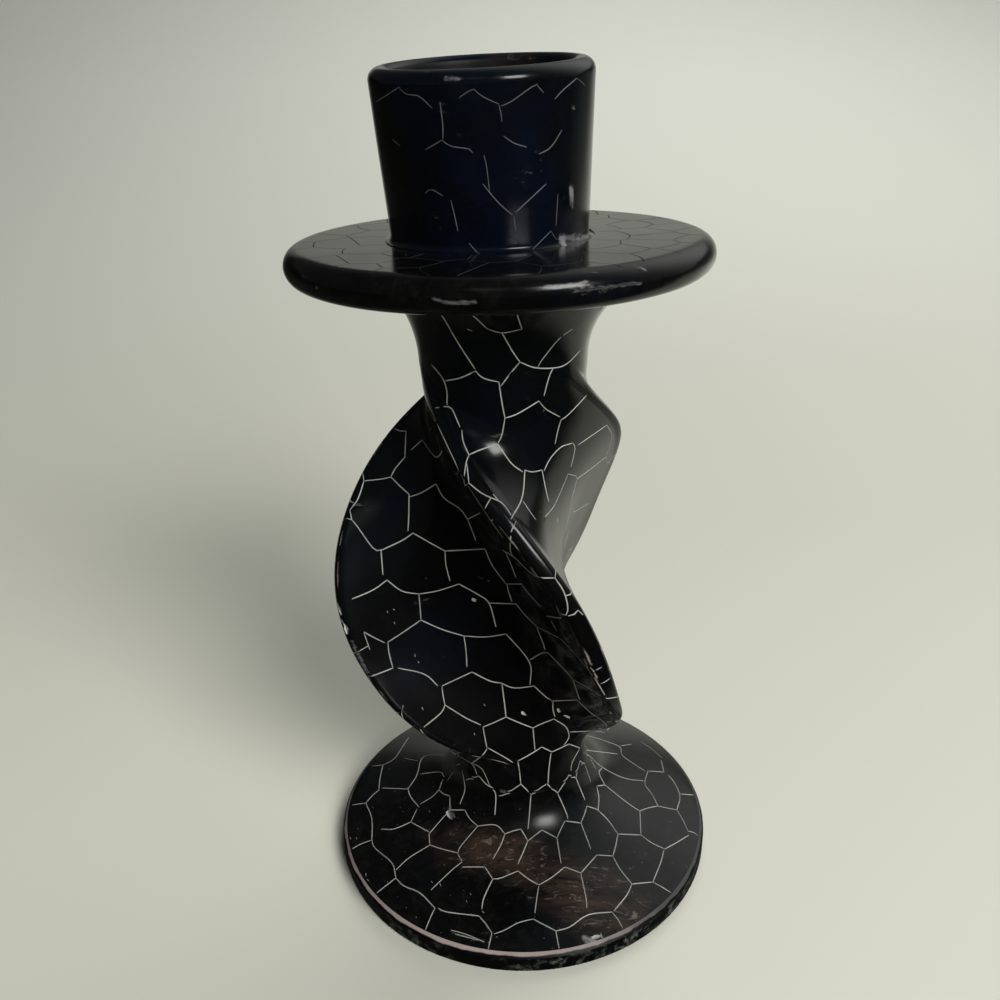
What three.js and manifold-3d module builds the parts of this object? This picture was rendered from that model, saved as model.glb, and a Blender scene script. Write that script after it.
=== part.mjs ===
// Taper candle holder of carved, black-dyed soapstone: a round foot, a stem carved into three
// twisted fins, a round drip pan and a candle cup. Two steel pins hold the stack together.
// Millimetres, +Z up, the foot rests on z = 0 and its centre is the origin.
// The stem drifts to the left (-X) as it rises, the pan and the cup lean that way too, and the
// cup also leans to the front (-Y).

import * as THREE from "three";
import { mergeVertices } from "three/addons/utils/BufferGeometryUtils.js";
import Module from "manifold-3d";

const wasm = await Module();
wasm.setup();

const UP = new THREE.Vector3(0, 0, 1);

// Clearances between mating pieces
const GLUE_GAP = 0.3;
const PIN_END_GAP = 0.5;

// How far the cutting shapes of holes and seats run past the face that they open
const CUT_LENGTH = 2;

// Round foot, with a domed top that sweeps up into a neck
const FOOT = {
  radius: 38.4,
  wall: 3.4,
  bevel: 0.8,
  lowerEdge: 0.4,
  height: 19,
  neckRadius: 13.2,
  domeRun: 10.6,
  domeRise: 4.4,
  sweepRun: 1.3,
  sweepDrop: 10,
  steps: 14,
  sides: 64,
};

// Stem with three fins that arch out between a lower and an upper neck
const STEM = {
  length: 99.9,
  topShift: 2.5,
  upperNeckRadius: 14.8,
  flareRadius: 22.5,
  flareLength: 15,
  flarePower: 2.2,
  flareShift: 2,
  coreRadius: 8.7,
  archMiddle: 42.3,
  archUpper: 43.8,
  archLowerPower: 1.05,
  archUpperPower: 1.33,
  coreLowerPower: 1.9,
  coreUpperPower: 0.9,
  neckBlendPower: 6,
  levels: 50,
};

// Fins: how far each reaches from the axis, and its angle from the first one, in degrees
const FINS = [
  { reach: 30.7, angle: 0 },
  { reach: 32.6, angle: 124.5 },
  { reach: 33.8, angle: 263.7 },
];

// Rim of a fin, half its thickness and how far its round edge goes back
const FIN_RIM = { half: 1.8, round: 1.5, points: 5, facePoints: 9 };

// Twist, in degrees: where the first fin faces at a height above the stem's lower end, and how
// far it turns over a span below that height, steadily and ever faster
const TWIST = { height: 41, span: 60, frontAngle: 26.7, steadyAngle: 42.6, tightenAngle: 184.6 };

// Drip pan, a disc with a fully rounded rim
const PAN = {
  radius: 35,
  thickness: 5.5,
  tiltAngle: 0.6,
  rimSteps: 8,
  sides: 64,
};

// Candle cup, turned, with a rounded lip and a tapered socket for a 22 mm candle
const CUP = {
  height: 26.3,
  footRadius: 17,
  footFillet: 0.9,
  lowerRadius: 16.1,
  upperRadius: 17.2,
  lip: 1.9,
  mouthRadius: 13.9,
  socketDepth: 20,
  socketFloorRadius: 11.4,
  floorFillet: 1,
  leftAngle: 1.5,
  frontAngle: 4.4,
  shift: 1.4,
  lipSteps: 8,
  sides: 56,
};

// How deep the stem and the cup sit in shallow seats in the pan
const SEAT = { depthBelow: 0.35, depthAbove: 0.35 };

// Steel pins between foot and stem, and from the stem through the pan into the cup
const PIN = { radius: 3, inFoot: 12, inStem: 12, inCup: 4.5, edge: 0.4, sides: 32 };

// Heights that follow from the sizes above
const stemBottom = FOOT.height;
const stemTop = stemBottom + STEM.length;
const panBottom = stemTop - SEAT.depthBelow;
const panMiddle = panBottom + PAN.thickness / 2;
const panTop = panBottom + PAN.thickness;
const cupBottom = panTop - SEAT.depthAbove;
const topX = -STEM.topShift;
const flareX = topX + STEM.flareShift;
const cupX = topX - CUP.shift;

function radians(degrees) {
  return THREE.MathUtils.degToRad(degrees);
}

// Mesh data for the solid tools, with only positions, welded
function toSolid(geometry) {
  const bare = geometry.clone();
  bare.deleteAttribute("normal");
  bare.deleteAttribute("uv");
  const welded = mergeVertices(bare, 1e-3);
  const mesh = new wasm.Mesh({
    numProp: 3,
    vertProperties: new Float32Array(welded.attributes.position.array),
    triVerts: new Uint32Array(welded.index.array),
  });
  return new wasm.Manifold(mesh);
}

function toGeometry(solid) {
  const mesh = solid.getMesh();
  const geometry = new THREE.BufferGeometry();
  geometry.setAttribute("position", new THREE.BufferAttribute(new Float32Array(mesh.vertProperties), 3));
  geometry.setIndex(new THREE.BufferAttribute(new Uint32Array(mesh.triVerts), 1));
  geometry.computeVertexNormals();
  return geometry;
}

// Solid of revolution about Z from [radius, height] points that start and end on the axis
function turned(points, sides) {
  const profile = points.map(([radius, height]) => new THREE.Vector2(radius, height));
  const geometry = new THREE.LatheGeometry(profile, sides);
  geometry.rotateX(Math.PI / 2);
  return geometry;
}

function cylinder(radius, bottom, top, x, sides) {
  const geometry = turned([[0, bottom], [radius, bottom], [radius, top], [0, top]], sides);
  geometry.translate(x, 0, 0);
  return geometry;
}

// Points on an arc about (radius, height), angles in degrees from the outward direction
function arc(radius, height, size, from, to, steps) {
  const points = [];
  for (let i = 0; i <= steps; i += 1) {
    const angle = radians(from + ((to - from) * i) / steps);
    points.push([radius + size * Math.cos(angle), height + size * Math.sin(angle)]);
  }
  return points;
}

function stone(colour, roughness) {
  return new THREE.MeshStandardMaterial({ color: colour, roughness, metalness: 0 });
}

function steel() {
  return new THREE.MeshStandardMaterial({ color: 0x9a9c9e, roughness: 0.35, metalness: 1 });
}

function named(name, geometry, material) {
  const mesh = new THREE.Mesh(geometry, material);
  mesh.name = name;
  return mesh;
}

// Foot: side wall, bevelled edge, dome and concave sweep up to the neck
function footProfile() {
  const edge = FOOT.radius - FOOT.bevel;
  const edgeHeight = FOOT.wall + FOOT.bevel;
  const sweep = new THREE.CubicBezierCurve(
    new THREE.Vector2(edge, edgeHeight),
    new THREE.Vector2(edge - FOOT.domeRun, edgeHeight + FOOT.domeRise),
    new THREE.Vector2(FOOT.neckRadius + FOOT.sweepRun, FOOT.height - FOOT.sweepDrop),
    new THREE.Vector2(FOOT.neckRadius, FOOT.height),
  );
  const points = [
    [0, 0],
    [FOOT.radius - FOOT.lowerEdge, 0],
    [FOOT.radius, FOOT.lowerEdge],
    [FOOT.radius, FOOT.wall],
  ];
  for (const point of sweep.getPoints(FOOT.steps)) {
    points.push([point.x, point.y]);
  }
  points.push([0, FOOT.height]);
  return points;
}

function footGeometry() {
  const body = toSolid(turned(footProfile(), FOOT.sides));
  const holeRadius = PIN.radius + GLUE_GAP;
  const holeFloor = FOOT.height - PIN.inFoot;
  const hole = toSolid(cylinder(holeRadius, holeFloor, FOOT.height + CUT_LENGTH, 0, PIN.sides));
  return toGeometry(body.subtract(hole));
}

// How far the flare under the pan has opened at a height above the stem's lower end
function flareAt(rise) {
  const start = STEM.length - STEM.flareLength;
  return (Math.max(rise - start, 0) / STEM.flareLength) ** STEM.flarePower;
}

// Sideways place of the stem's axis, which the flare moves back to the right
function stemX(rise) {
  return (-STEM.topShift * rise) / STEM.length + STEM.flareShift * flareAt(rise);
}

// How far the fins have arched out at a height, from 0 at the necks to 1 at the widest place
function archAt(rise) {
  const below = rise < STEM.archMiddle;
  const half = below ? STEM.archMiddle : STEM.archUpper;
  const reach = Math.min(Math.abs(rise - STEM.archMiddle) / half, 1);
  const power = below ? STEM.archLowerPower : STEM.archUpperPower;
  const corePower = below ? STEM.coreLowerPower : STEM.coreUpperPower;
  return { out: Math.cos((Math.PI / 2) * reach) ** power, core: reach ** corePower };
}

// Radius of the round neck at a height, with the flare under the pan
function neckAt(rise) {
  const share = rise / STEM.length;
  const plain = FOOT.neckRadius + (STEM.upperNeckRadius - FOOT.neckRadius) * share;
  return plain + (STEM.flareRadius - STEM.upperNeckRadius) * flareAt(rise);
}

// Direction that the first fin faces, from the front (-Y) towards +X
function twistAt(rise) {
  const lowest = -TWIST.height;
  const highest = STEM.archMiddle + STEM.archUpper - TWIST.height;
  const step = THREE.MathUtils.clamp(rise - TWIST.height, lowest, highest) / TWIST.span;
  return radians(TWIST.frontAngle - TWIST.steadyAngle * step - TWIST.tightenAngle * step ** 3);
}

// One fin's rounded rim, as [outward, sideways] steps from its tip
function rimSteps() {
  const steps = [];
  for (let i = 0; i < FIN_RIM.points; i += 1) {
    const side = Math.cos((Math.PI * i) / (FIN_RIM.points - 1));
    const back = (1 - Math.abs(side) ** 3) ** (1 / 3) - 1;
    steps.push([FIN_RIM.round * back, -FIN_RIM.half * side]);
  }
  return steps;
}

// Section of the stem at a height above its lower end: rims joined by hollow faces
function stemSection(rise) {
  const arch = archAt(rise);
  const neck = neckAt(rise);
  const core = STEM.coreRadius + (neck - STEM.coreRadius) * arch.core;
  const fins = FINS.map((fin) => {
    const angle = twistAt(rise) + radians(fin.angle);
    return {
      angle,
      tip: neck + (fin.reach - neck) * arch.out,
      outward: new THREE.Vector2(Math.sin(angle), -Math.cos(angle)),
      sideways: new THREE.Vector2(Math.cos(angle), Math.sin(angle)),
    };
  });
  const points = [];
  fins.forEach((fin, index) => {
    const next = fins[(index + 1) % fins.length];
    for (const [out, side] of rimSteps()) {
      const point = fin.outward.clone().multiplyScalar(fin.tip + out);
      points.push(point.addScaledVector(fin.sideways, side));
    }
    const start = fin.outward.clone().multiplyScalar(fin.tip - FIN_RIM.round);
    start.addScaledVector(fin.sideways, FIN_RIM.half);
    const end = next.outward.clone().multiplyScalar(next.tip - FIN_RIM.round);
    end.addScaledVector(next.sideways, -FIN_RIM.half);
    const turn = (next.angle - fin.angle + 2 * Math.PI) % (2 * Math.PI);
    const middle = fin.angle + turn / 2;
    const hollow = new THREE.Vector2(Math.sin(middle), -Math.cos(middle)).multiplyScalar(2 * core);
    hollow.addScaledVector(start, -0.5);
    hollow.addScaledVector(end, -0.5);
    const face = new THREE.QuadraticBezierCurve(start, hollow, end);
    for (let i = 1; i <= FIN_RIM.facePoints; i += 1) {
      points.push(face.getPoint(i / (FIN_RIM.facePoints + 1)));
    }
  });
  const roundness = (1 - arch.out) ** STEM.neckBlendPower;
  for (const point of points) {
    point.multiplyScalar(1 + (neck / point.length() - 1) * roundness);
  }
  return points;
}

// Closed solid through equal rings of points, capped at both ends
function loft(rings) {
  const count = rings[0].length;
  const positions = rings.flat().flatMap((point) => [point.x, point.y, point.z]);
  const index = [];
  for (let level = 0; level < rings.length - 1; level += 1) {
    for (let i = 0; i < count; i += 1) {
      const low = level * count + i;
      const lowNext = level * count + ((i + 1) % count);
      index.push(low, lowNext, lowNext + count);
      index.push(low, lowNext + count, low + count);
    }
  }
  const top = (rings.length - 1) * count;
  for (let i = 1; i < count - 1; i += 1) {
    index.push(0, i + 1, i);
    index.push(top, top + i, top + i + 1);
  }
  const geometry = new THREE.BufferGeometry();
  geometry.setAttribute("position", new THREE.Float32BufferAttribute(positions, 3));
  geometry.setIndex(index);
  return geometry;
}

function stemGeometry() {
  const rings = [];
  for (let level = 0; level <= STEM.levels; level += 1) {
    const rise = (STEM.length * level) / STEM.levels;
    const height = level === STEM.levels ? stemTop : stemBottom + rise;
    const ring = stemSection(rise).map((point) => {
      return new THREE.Vector3(point.x + stemX(rise), point.y, height);
    });
    rings.push(ring);
  }
  const holeRadius = PIN.radius + GLUE_GAP;
  const lowHole = cylinder(holeRadius, stemBottom - CUT_LENGTH, stemBottom + PIN.inStem, 0, PIN.sides);
  const highHole = cylinder(holeRadius, stemTop - PIN.inStem, stemTop + CUT_LENGTH, topX, PIN.sides);
  const body = toSolid(loft(rings)).subtract(toSolid(lowHole)).subtract(toSolid(highHole));
  return toGeometry(body);
}

// Lean a turned shape of some height to the left and to the front, its foot kept level
function leaned(geometry, height, left, front) {
  const places = geometry.attributes.position;
  const sideways = Math.tan(radians(left));
  const forwards = Math.tan(radians(front));
  for (let i = 0; i < places.count; i += 1) {
    const x = places.getX(i);
    const y = places.getY(i);
    const rise = places.getZ(i);
    const slope = (x * sideways + y * forwards) * (rise / height);
    places.setXYZ(i, x - rise * sideways, y - rise * forwards, rise + slope);
  }
  return geometry;
}

// Pan: tilted disc with level seats for the stem and the cup, and the pin's hole
function panGeometry() {
  const half = PAN.thickness / 2;
  const rim = arc(PAN.radius - half, 0, half, -90, 90, PAN.rimSteps);
  const disc = turned([[0, -half], ...rim, [0, half]], PAN.sides);
  disc.rotateY(-radians(PAN.tiltAngle));
  disc.translate(topX, 0, panMiddle);
  const body = toSolid(disc);
  const stemSeat = cylinder(STEM.flareRadius + GLUE_GAP, panBottom - CUT_LENGTH, stemTop, flareX, PAN.sides);
  const cupSeat = cylinder(CUP.footRadius + GLUE_GAP, cupBottom, panTop + CUT_LENGTH, cupX, PAN.sides);
  const hole = cylinder(PIN.radius + GLUE_GAP, panBottom - CUT_LENGTH, panTop + CUT_LENGTH, topX, PIN.sides);
  return toGeometry(body.subtract(toSolid(stemSeat)).subtract(toSolid(cupSeat)).subtract(toSolid(hole)));
}

// Cup standing straight in its own frame
function cupProfile() {
  const crest = CUP.upperRadius - CUP.lip;
  const inside = crest - CUP.mouthRadius;
  const outerLip = arc(crest, CUP.height - CUP.lip, CUP.lip, 0, 90, CUP.lipSteps);
  const innerLip = arc(crest, CUP.height - inside, inside, 90, 180, CUP.lipSteps);
  const floor = CUP.height - CUP.socketDepth;
  const fillet = arc(
    CUP.socketFloorRadius - CUP.floorFillet,
    floor + CUP.floorFillet,
    CUP.floorFillet,
    0,
    -90,
    3,
  );
  return [
    [0, 0],
    [CUP.footRadius, 0],
    [CUP.lowerRadius, CUP.footFillet],
    ...outerLip,
    ...innerLip.slice(1),
    ...fillet,
    [0, floor],
  ];
}

function cupGeometry() {
  const cup = leaned(turned(cupProfile(), CUP.sides), CUP.height, CUP.leftAngle, CUP.frontAngle);
  cup.translate(cupX, 0, cupBottom);
  const holeTop = cupBottom + PIN.inCup;
  const hole = cylinder(PIN.radius + GLUE_GAP, cupBottom - CUT_LENGTH, holeTop, topX, PIN.sides);
  return toGeometry(toSolid(cup).subtract(toSolid(hole)));
}

// Pin with small chamfers, standing on the floor of its lower hole
function pinGeometry(bottom, top, x) {
  const points = [
    [0, bottom],
    [PIN.radius - PIN.edge, bottom],
    [PIN.radius, bottom + PIN.edge],
    [PIN.radius, top - PIN.edge],
    [PIN.radius - PIN.edge, top],
    [0, top],
  ];
  const geometry = turned(points, PIN.sides);
  geometry.translate(x, 0, 0);
  return geometry;
}

function lowerPin() {
  const bottom = FOOT.height - PIN.inFoot;
  const top = stemBottom + PIN.inStem - PIN_END_GAP;
  return pinGeometry(bottom, top, 0);
}

function upperPin() {
  const bottom = stemTop - PIN.inStem;
  const top = cupBottom + PIN.inCup - PIN_END_GAP;
  return pinGeometry(bottom, top, topX);
}

const holder = new THREE.Group();
holder.up.copy(UP);
holder.add(named("foot", footGeometry(), stone(0x1a1918, 0.3)));
holder.add(named("twisted_stem", stemGeometry(), stone(0x141414, 0.28)));
holder.add(named("drip_pan", panGeometry(), stone(0x15151a, 0.25)));
holder.add(named("candle_cup", cupGeometry(), stone(0x10131c, 0.25)));
holder.add(named("lower_pin", lowerPin(), steel()));
holder.add(named("upper_pin", upperPin(), steel()));

export default holder;
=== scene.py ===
"""Finished looks of a carved soapstone taper candle holder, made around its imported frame."""

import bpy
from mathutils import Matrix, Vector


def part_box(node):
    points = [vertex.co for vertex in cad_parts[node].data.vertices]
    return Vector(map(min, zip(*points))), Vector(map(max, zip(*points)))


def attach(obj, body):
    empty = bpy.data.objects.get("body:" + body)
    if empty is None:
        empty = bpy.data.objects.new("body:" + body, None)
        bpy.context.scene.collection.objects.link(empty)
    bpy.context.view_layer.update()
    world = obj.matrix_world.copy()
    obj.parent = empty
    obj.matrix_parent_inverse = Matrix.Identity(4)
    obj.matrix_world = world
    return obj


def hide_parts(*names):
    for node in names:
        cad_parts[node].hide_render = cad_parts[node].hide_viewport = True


bl_info = {
    "name": "Carved stone candle holder",
    "version": (1, 0, 0),
    "blender": (4, 5, 0),
    "location": "3D View > Sidebar > Holder",
    "description": "Makes a candle holder of black-dyed soapstone with a twisted stem and incised cells",
    "category": "Add Mesh",
}

import math
import random
from functools import partialmethod
from itertools import combinations
from types import SimpleNamespace

import bpy
import numpy as np
from bpy.props import FloatProperty, FloatVectorProperty, IntProperty, PointerProperty
from mathutils import Matrix, Vector, kdtree
from mathutils.bvhtree import BVHTree
from mathutils.geometry import delaunay_2d_cdt

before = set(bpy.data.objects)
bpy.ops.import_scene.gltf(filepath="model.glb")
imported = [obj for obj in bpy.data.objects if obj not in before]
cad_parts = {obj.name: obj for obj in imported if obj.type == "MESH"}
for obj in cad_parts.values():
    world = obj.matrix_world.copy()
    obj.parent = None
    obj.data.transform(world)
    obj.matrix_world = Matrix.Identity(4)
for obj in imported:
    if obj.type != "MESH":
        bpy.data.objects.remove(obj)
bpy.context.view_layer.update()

MM = 0.001
BODY = "root"
UPWARD = np.array((0.0, 0.0, 1.0))
# Step along the outlines of the smooth skins
FINE = 0.12 * MM

# Where the pieces meet, from the frame
FOOT_RADIUS, _, FOOT_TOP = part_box("foot")[1]
STEM_BOTTOM, STEM_TOP = (corner.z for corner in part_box("twisted_stem"))
PAN_X = sum(corner.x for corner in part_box("drip_pan")) / 2
CUP_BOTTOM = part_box("candle_cup")[0].z


# Sizes and colours

def length(name, description, millimetres):
    return FloatProperty(name=name, description=description, default=millimetres * MM, unit="LENGTH")


def number(name, description, value):
    return FloatProperty(name=name, description=description, default=value)


def degrees(name, description, value):
    return FloatProperty(
        name=name, description=description, default=math.radians(value), subtype="ANGLE"
    )


def colour(name, description, value):
    return FloatVectorProperty(
        name=name, description=description, default=value, size=3, min=0, max=1, subtype="COLOR"
    )


class FootShape(bpy.types.PropertyGroup):
    wall: length("Side wall", "Height of the side wall", 3.4)
    bevel: length("Bevel", "Width of the bevel above the wall, worn bare of dye", 0.8)
    lower_edge: length("Lower edge", "Rounding of the edge that rests on the table", 0.4)
    neck_radius: length("Neck radius", "Radius where the stem stands on the foot", 13.2)
    dome_run: length("Dome run", "How far in the domed part reaches", 10.6)
    dome_rise: length("Dome rise", "How far the domed part climbs", 4.4)
    sweep_run: length("Sweep run", "How far out the sweep starts from the neck", 1.3)
    sweep_drop: length("Sweep drop", "How far below the neck the sweep pulls", 10)


class PinHoles(bpy.types.PropertyGroup):
    radius: length("Radius", "Radius of the holes for the steel pins", 3.3)
    in_foot: length("Depth in foot", "Depth of the lower pin's hole in the foot", 12)
    in_stem: length("Depth in stem", "Depth of both holes in the stem", 12)
    in_cup: length("Depth in cup", "Depth of the upper pin's hole in the cup", 4.5)


class StemShape(bpy.types.PropertyGroup):
    drift: length("Drift", "How far the stem leans to the left by its top", 2.5)
    lower_neck: length("Lower neck", "Radius of the lower neck", 13.2)
    upper_neck: length("Upper neck", "Radius of the upper neck", 14.8)
    flare_radius: length("Flare radius", "Radius of the flare under the pan", 22.5)
    flare_length: length("Flare length", "Height of the flare", 15)
    flare_shift: length("Flare shift", "How far the flare goes back to the right", 2)
    flare_power: number("Flare power", "How late the flare opens", 2.2)
    core_radius: length("Core radius", "Depth that the hollow faces reach at the middle", 8.7)
    arch_middle: length("Arch middle", "Height of the widest place above the stem's lower end", 42.3)
    arch_upper: length("Upper arch", "Height over which the fins die away upwards", 43.8)
    arch_lower_power: number("Lower arch power", "How pointed the fins are below", 1.05)
    arch_upper_power: number("Upper arch power", "How pointed the fins are above", 1.33)
    core_lower_power: number("Lower core power", "How late the core thickens below", 1.9)
    core_upper_power: number("Upper core power", "How late the core thickens above", 0.9)
    reach_front: length("Front fin", "How far the front fin reaches", 30.7)
    reach_right: length("Right fin", "How far the right fin reaches", 32.6)
    reach_left: length("Left fin", "How far the left fin reaches", 33.8)
    turn_right: degrees("Right fin's turn", "Angle from the front fin to the right fin", 124.5)
    turn_left: degrees("Left fin's turn", "Angle from the front fin to the left fin", 263.7)
    rim_half: length("Rim half width", "Half the thickness of a fin at its rim", 1.8)
    rim_round: length("Rim rounding", "How far the rim's round edge goes back", 1.5)
    twist_height: length("Twist height", "Height where the front fin's angle is given", 41)
    twist_span: length("Twist span", "Height that the two turns below are given for", 60)
    twist_front: degrees("Twist front", "Where the front fin faces at the twist height", 26.7)
    twist_steady: degrees("Steady twist", "Turn over the span that is even all the way", 42.6)
    twist_tighten: degrees("Tightening twist", "Turn over the span that grows to the ends", 184.6)
    left_start: length("Left fin's start", "Height over which the left fin grows out below", 10)
    waist_start: number("Waist start", "How softly the fins grow out of the necks", 0.05)
    waist_slope: number("Waist slope", "How steeply the foot's sweep runs on into the waist", 0.146)
    waist_fade: length("Waist fade", "Height over which that slope dies away", 4)


class PanShape(bpy.types.PropertyGroup):
    radius: length("Radius", "Radius of the drip pan", 35)
    thickness: length("Thickness", "Thickness of the drip pan", 5.5)
    tilt: degrees("Tilt", "How far the pan tilts to the left", 0.6)
    seat: length("Seat", "Depth of the seats for the stem and the cup", 0.35)
    seat_gap: length("Seat gap", "Open gap round the stem and the cup in their seats", 0.04)


class CupShape(bpy.types.PropertyGroup):
    height: length("Height", "Height of the cup", 26.3)
    lower_radius: length("Lower radius", "Radius just above the cup's foot", 16.1)
    upper_radius: length("Upper radius", "Radius at the lip", 17.2)
    foot_fillet: length("Foot fillet", "Size of the fillet where the cup meets the pan", 0.9)
    lip: length("Lip", "Rounding of the lip's outer side", 1.9)
    mouth_radius: length("Mouth radius", "Radius of the socket at the lip", 13.9)
    floor_radius: length("Floor radius", "Radius of the socket at its floor", 11.4)
    depth: length("Socket depth", "Depth of the candle socket", 20)
    floor_fillet: length("Floor fillet", "Rounding at the socket's floor", 1)
    lean_left: degrees("Lean left", "How far the cup leans to the left", 1.5)
    lean_front: degrees("Lean front", "How far the cup leans to the front", 4.4)
    shift: length("Shift", "How far the cup stands left of the pan's middle", 1.4)


class LineWork(bpy.types.PropertyGroup):
    width: length("Width", "Width of a boldly cut line", 0.2)
    fine_width: length("Fine width", "Width of a fine line", 0.15)
    pan_width: length("Pan width", "Width of a line on the drip pan", 0.2)
    pit_width: length("Pit width", "Width of a small pit", 0.8)
    depth: length("Depth", "Depth of a bold line", 0.14)
    cell: length("Cell", "Size of a cell where cells are scattered", 9)
    pan_cell: length("Pan cell", "Size of a cell scattered on the drip pan", 7)
    bow: number("Bow", "Most that a stroke bows, as a share of its length", 0.07)
    reach: length("Reach", "How far a stroke runs on to meet the lines read from the photo", 4)
    seed: IntProperty(name="Seed", description="Draws the cells and strokes", default=11)


class Finish(bpy.types.PropertyGroup):
    dye: colour("Dye", "Black dye on the polished stone", (0.0016, 0.0016, 0.0017))
    # The blue and the teal tinges are painted reflections on the polish, spread in clouds
    blue: colour("Blue tinge", "Blue tinge where the dye is thickest", (0.0012, 0.0036, 0.0115))
    green: colour("Green tinge", "Green tinge of the stone under the dye", (0.0014, 0.0070, 0.0095))
    mottle: colour("Mottling", "Grey-green stone that shows faintly in spots", (0.011, 0.011, 0.009))
    brown: colour("Brown vein", "Brown vein that shows through the dye", (0.040, 0.026, 0.019))
    bare: colour("Bare stone", "Bare stone in the cut lines", (0.42, 0.42, 0.40))
    # A darker tone for the lines of the cup and the pan
    dim: colour("Dim stone", "Stone in the fine lines, still grey with dye", (0.13, 0.13, 0.14))
    # Grey of the scuffs, which also paints in highlights and reflections where the scuffs mask lies; the
    # grains use it too
    scuffed: colour("Scuffed stone", "Greyish stone where the polish is scuffed", (0.16, 0.155, 0.16))
    worn: colour("Worn edge", "Pinkish stone on worn edges", (0.34, 0.27, 0.26))
    floor: colour("Floor", "Colour of the floor near the object", (0.60, 0.605, 0.53))
    # The floor is painted brighter where it rises far behind, to make up for the light that falls off
    # there
    backdrop: colour("Backdrop", "Colour of the floor where it rises far behind", (0.86, 0.87, 0.80))


# Each group's name on the scene is holder_ and its key here
SETTINGS = {
    "foot": FootShape, "holes": PinHoles, "stem": StemShape, "pan": PanShape, "cup": CupShape,
    "lines": LineWork, "finish": Finish,
}


def settings(key):
    """A group of settings of the scene."""
    return getattr(bpy.context.scene, "holder_" + key)


# Skins: the smooth surfaces that the lines are cut into

# How many rows and columns of a skin's points rays are cast on
CAST_ROWS = 110
CAST_COLUMNS = 180
# The step that slopes are measured with, and the longest one when a place is sought, as shares
SLOPE_STEP = 0.002
SEEK_STEP = 0.02
# How many waves make up the unevenness of handwork
HAND_WAVES = 9


class Skin:
    """A surface closed round the object, as rings of points, each ring starting at the back."""

    def __init__(self, points):
        self.points = points
        self.normals = outward(points)
        around = np.linalg.norm(np.roll(points, -1, 1) - points, axis=2)
        along = np.linalg.norm(np.diff(points, axis=0), axis=2)
        self.girth = float(np.median(around.sum(axis=1)))
        self.length = float(along.sum(axis=0).mean())

    def at(self, turn, along):
        """Points and outward directions for shares of a turn and of the way along."""
        rows, columns = self.points.shape[:2]
        column = np.mod(turn, 1.0) * columns
        row = np.clip(along, 0.0, 1.0) * (rows - 1)
        left = np.floor(column).astype(int) % columns
        low = np.minimum(np.floor(row).astype(int), rows - 2)
        across = (column - np.floor(column))[..., None]
        up = (row - low)[..., None]
        right = (left + 1) % columns

        def between(grid):
            lower = grid[low, left] * (1 - across) + grid[low, right] * across
            upper = grid[low + 1, left] * (1 - across) + grid[low + 1, right] * across
            return lower * (1 - up) + upper * up

        return between(self.points), unit(between(self.normals))

    def on(self, path):
        """Points and outward directions for rows of turn and along."""
        return self.at(path[:, 0], path[:, 1])

    def slopes(self, path):
        """How the surface runs for a small step round it and a small step along it."""
        turn, along = path[:, 0], path[:, 1]
        ahead = self.at(turn + SLOPE_STEP, along)[0] - self.at(turn - SLOPE_STEP, along)[0]
        low = np.clip(along - SLOPE_STEP, 0, 1)
        high = np.clip(along + SLOPE_STEP, 0, 1)
        above = self.at(turn, high)[0] - self.at(turn, low)[0]
        return ahead / (2 * SLOPE_STEP), above / (high - low)[..., None]

    def tree(self):
        """Quads between some of the skin's points, for casting, and their shares."""
        rows, columns = self.points.shape[:2]
        row = np.linspace(0, rows - 1, CAST_ROWS).round().astype(int)
        column = np.linspace(0, columns, CAST_COLUMNS, endpoint=False).round().astype(int)
        corners = self.points[row][:, column].reshape(-1, 3)
        quads = ring_quads(len(row), len(column))
        turn, along = np.meshgrid(column / columns, row[:-1] / (rows - 1))
        guesses = np.column_stack((turn.ravel(), along.ravel()))
        return BVHTree.FromPolygons(corners.tolist(), quads.tolist()), guesses

    def find(self, places, path):
        """Rows of turn and along for places near the skin, from first guesses."""
        for _ in range(5):
            step = solved_step(*self.slopes(path), places - self.on(path)[0])
            path = path + np.clip(step, -SEEK_STEP, SEEK_STEP)
            path[:, 1] = np.clip(path[:, 1], 0, 1)
        return np.column_stack((np.unwrap(path[:, 0], period=1.0), path[:, 1]))


def unit(vectors):
    size = np.linalg.norm(vectors, axis=-1, keepdims=True)
    return vectors / np.maximum(size, 1e-12)


def even_turns(columns):
    return np.arange(columns) / columns


def ring_quads(rows, columns):
    """Faces between closed rings of points, by the points' numbers."""
    index = np.arange(rows * columns).reshape(rows, columns)
    beside = np.roll(index, -1, 1)
    return np.stack((index[:-1], beside[:-1], beside[1:], index[1:]), axis=2).reshape(-1, 4)


def running(steps):
    """How far each place of a row lies from its start, from the steps between them."""
    return np.concatenate(([0.0], np.cumsum(steps)))


def searchable(points):
    """A tree that finds the nearest of some points."""
    tree = kdtree.KDTree(len(points))
    for i, point in enumerate(points):
        tree.insert(point, i)
    tree.balance()
    return tree


def outward(points):
    around = np.roll(points, -1, 1) - np.roll(points, 1, 1)
    along = np.gradient(points, axis=0)
    return unit(np.cross(around, along))


def waved_skin(points, size, depth, seed):
    """A skin with the small unevenness of hand carving, which dies away at its two borders."""
    draw = random.Random(seed)
    push = np.zeros(points.shape[:2])
    for _ in range(HAND_WAVES):
        way = Vector([draw.gauss(0, 1) for _ in range(3)]).normalized()
        rate = 2 * math.pi / (size * draw.uniform(0.7, 1.6))
        push += np.sin(points @ np.array(way) * rate + draw.uniform(0, 6.3))
    waved = points + outward(points) * (push * depth / HAND_WAVES)[..., None]
    fade = np.sin(np.linspace(0, 1, len(points)) * math.pi)[:, None, None] ** 0.5
    return Skin(points + (waved - points) * fade)


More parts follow.
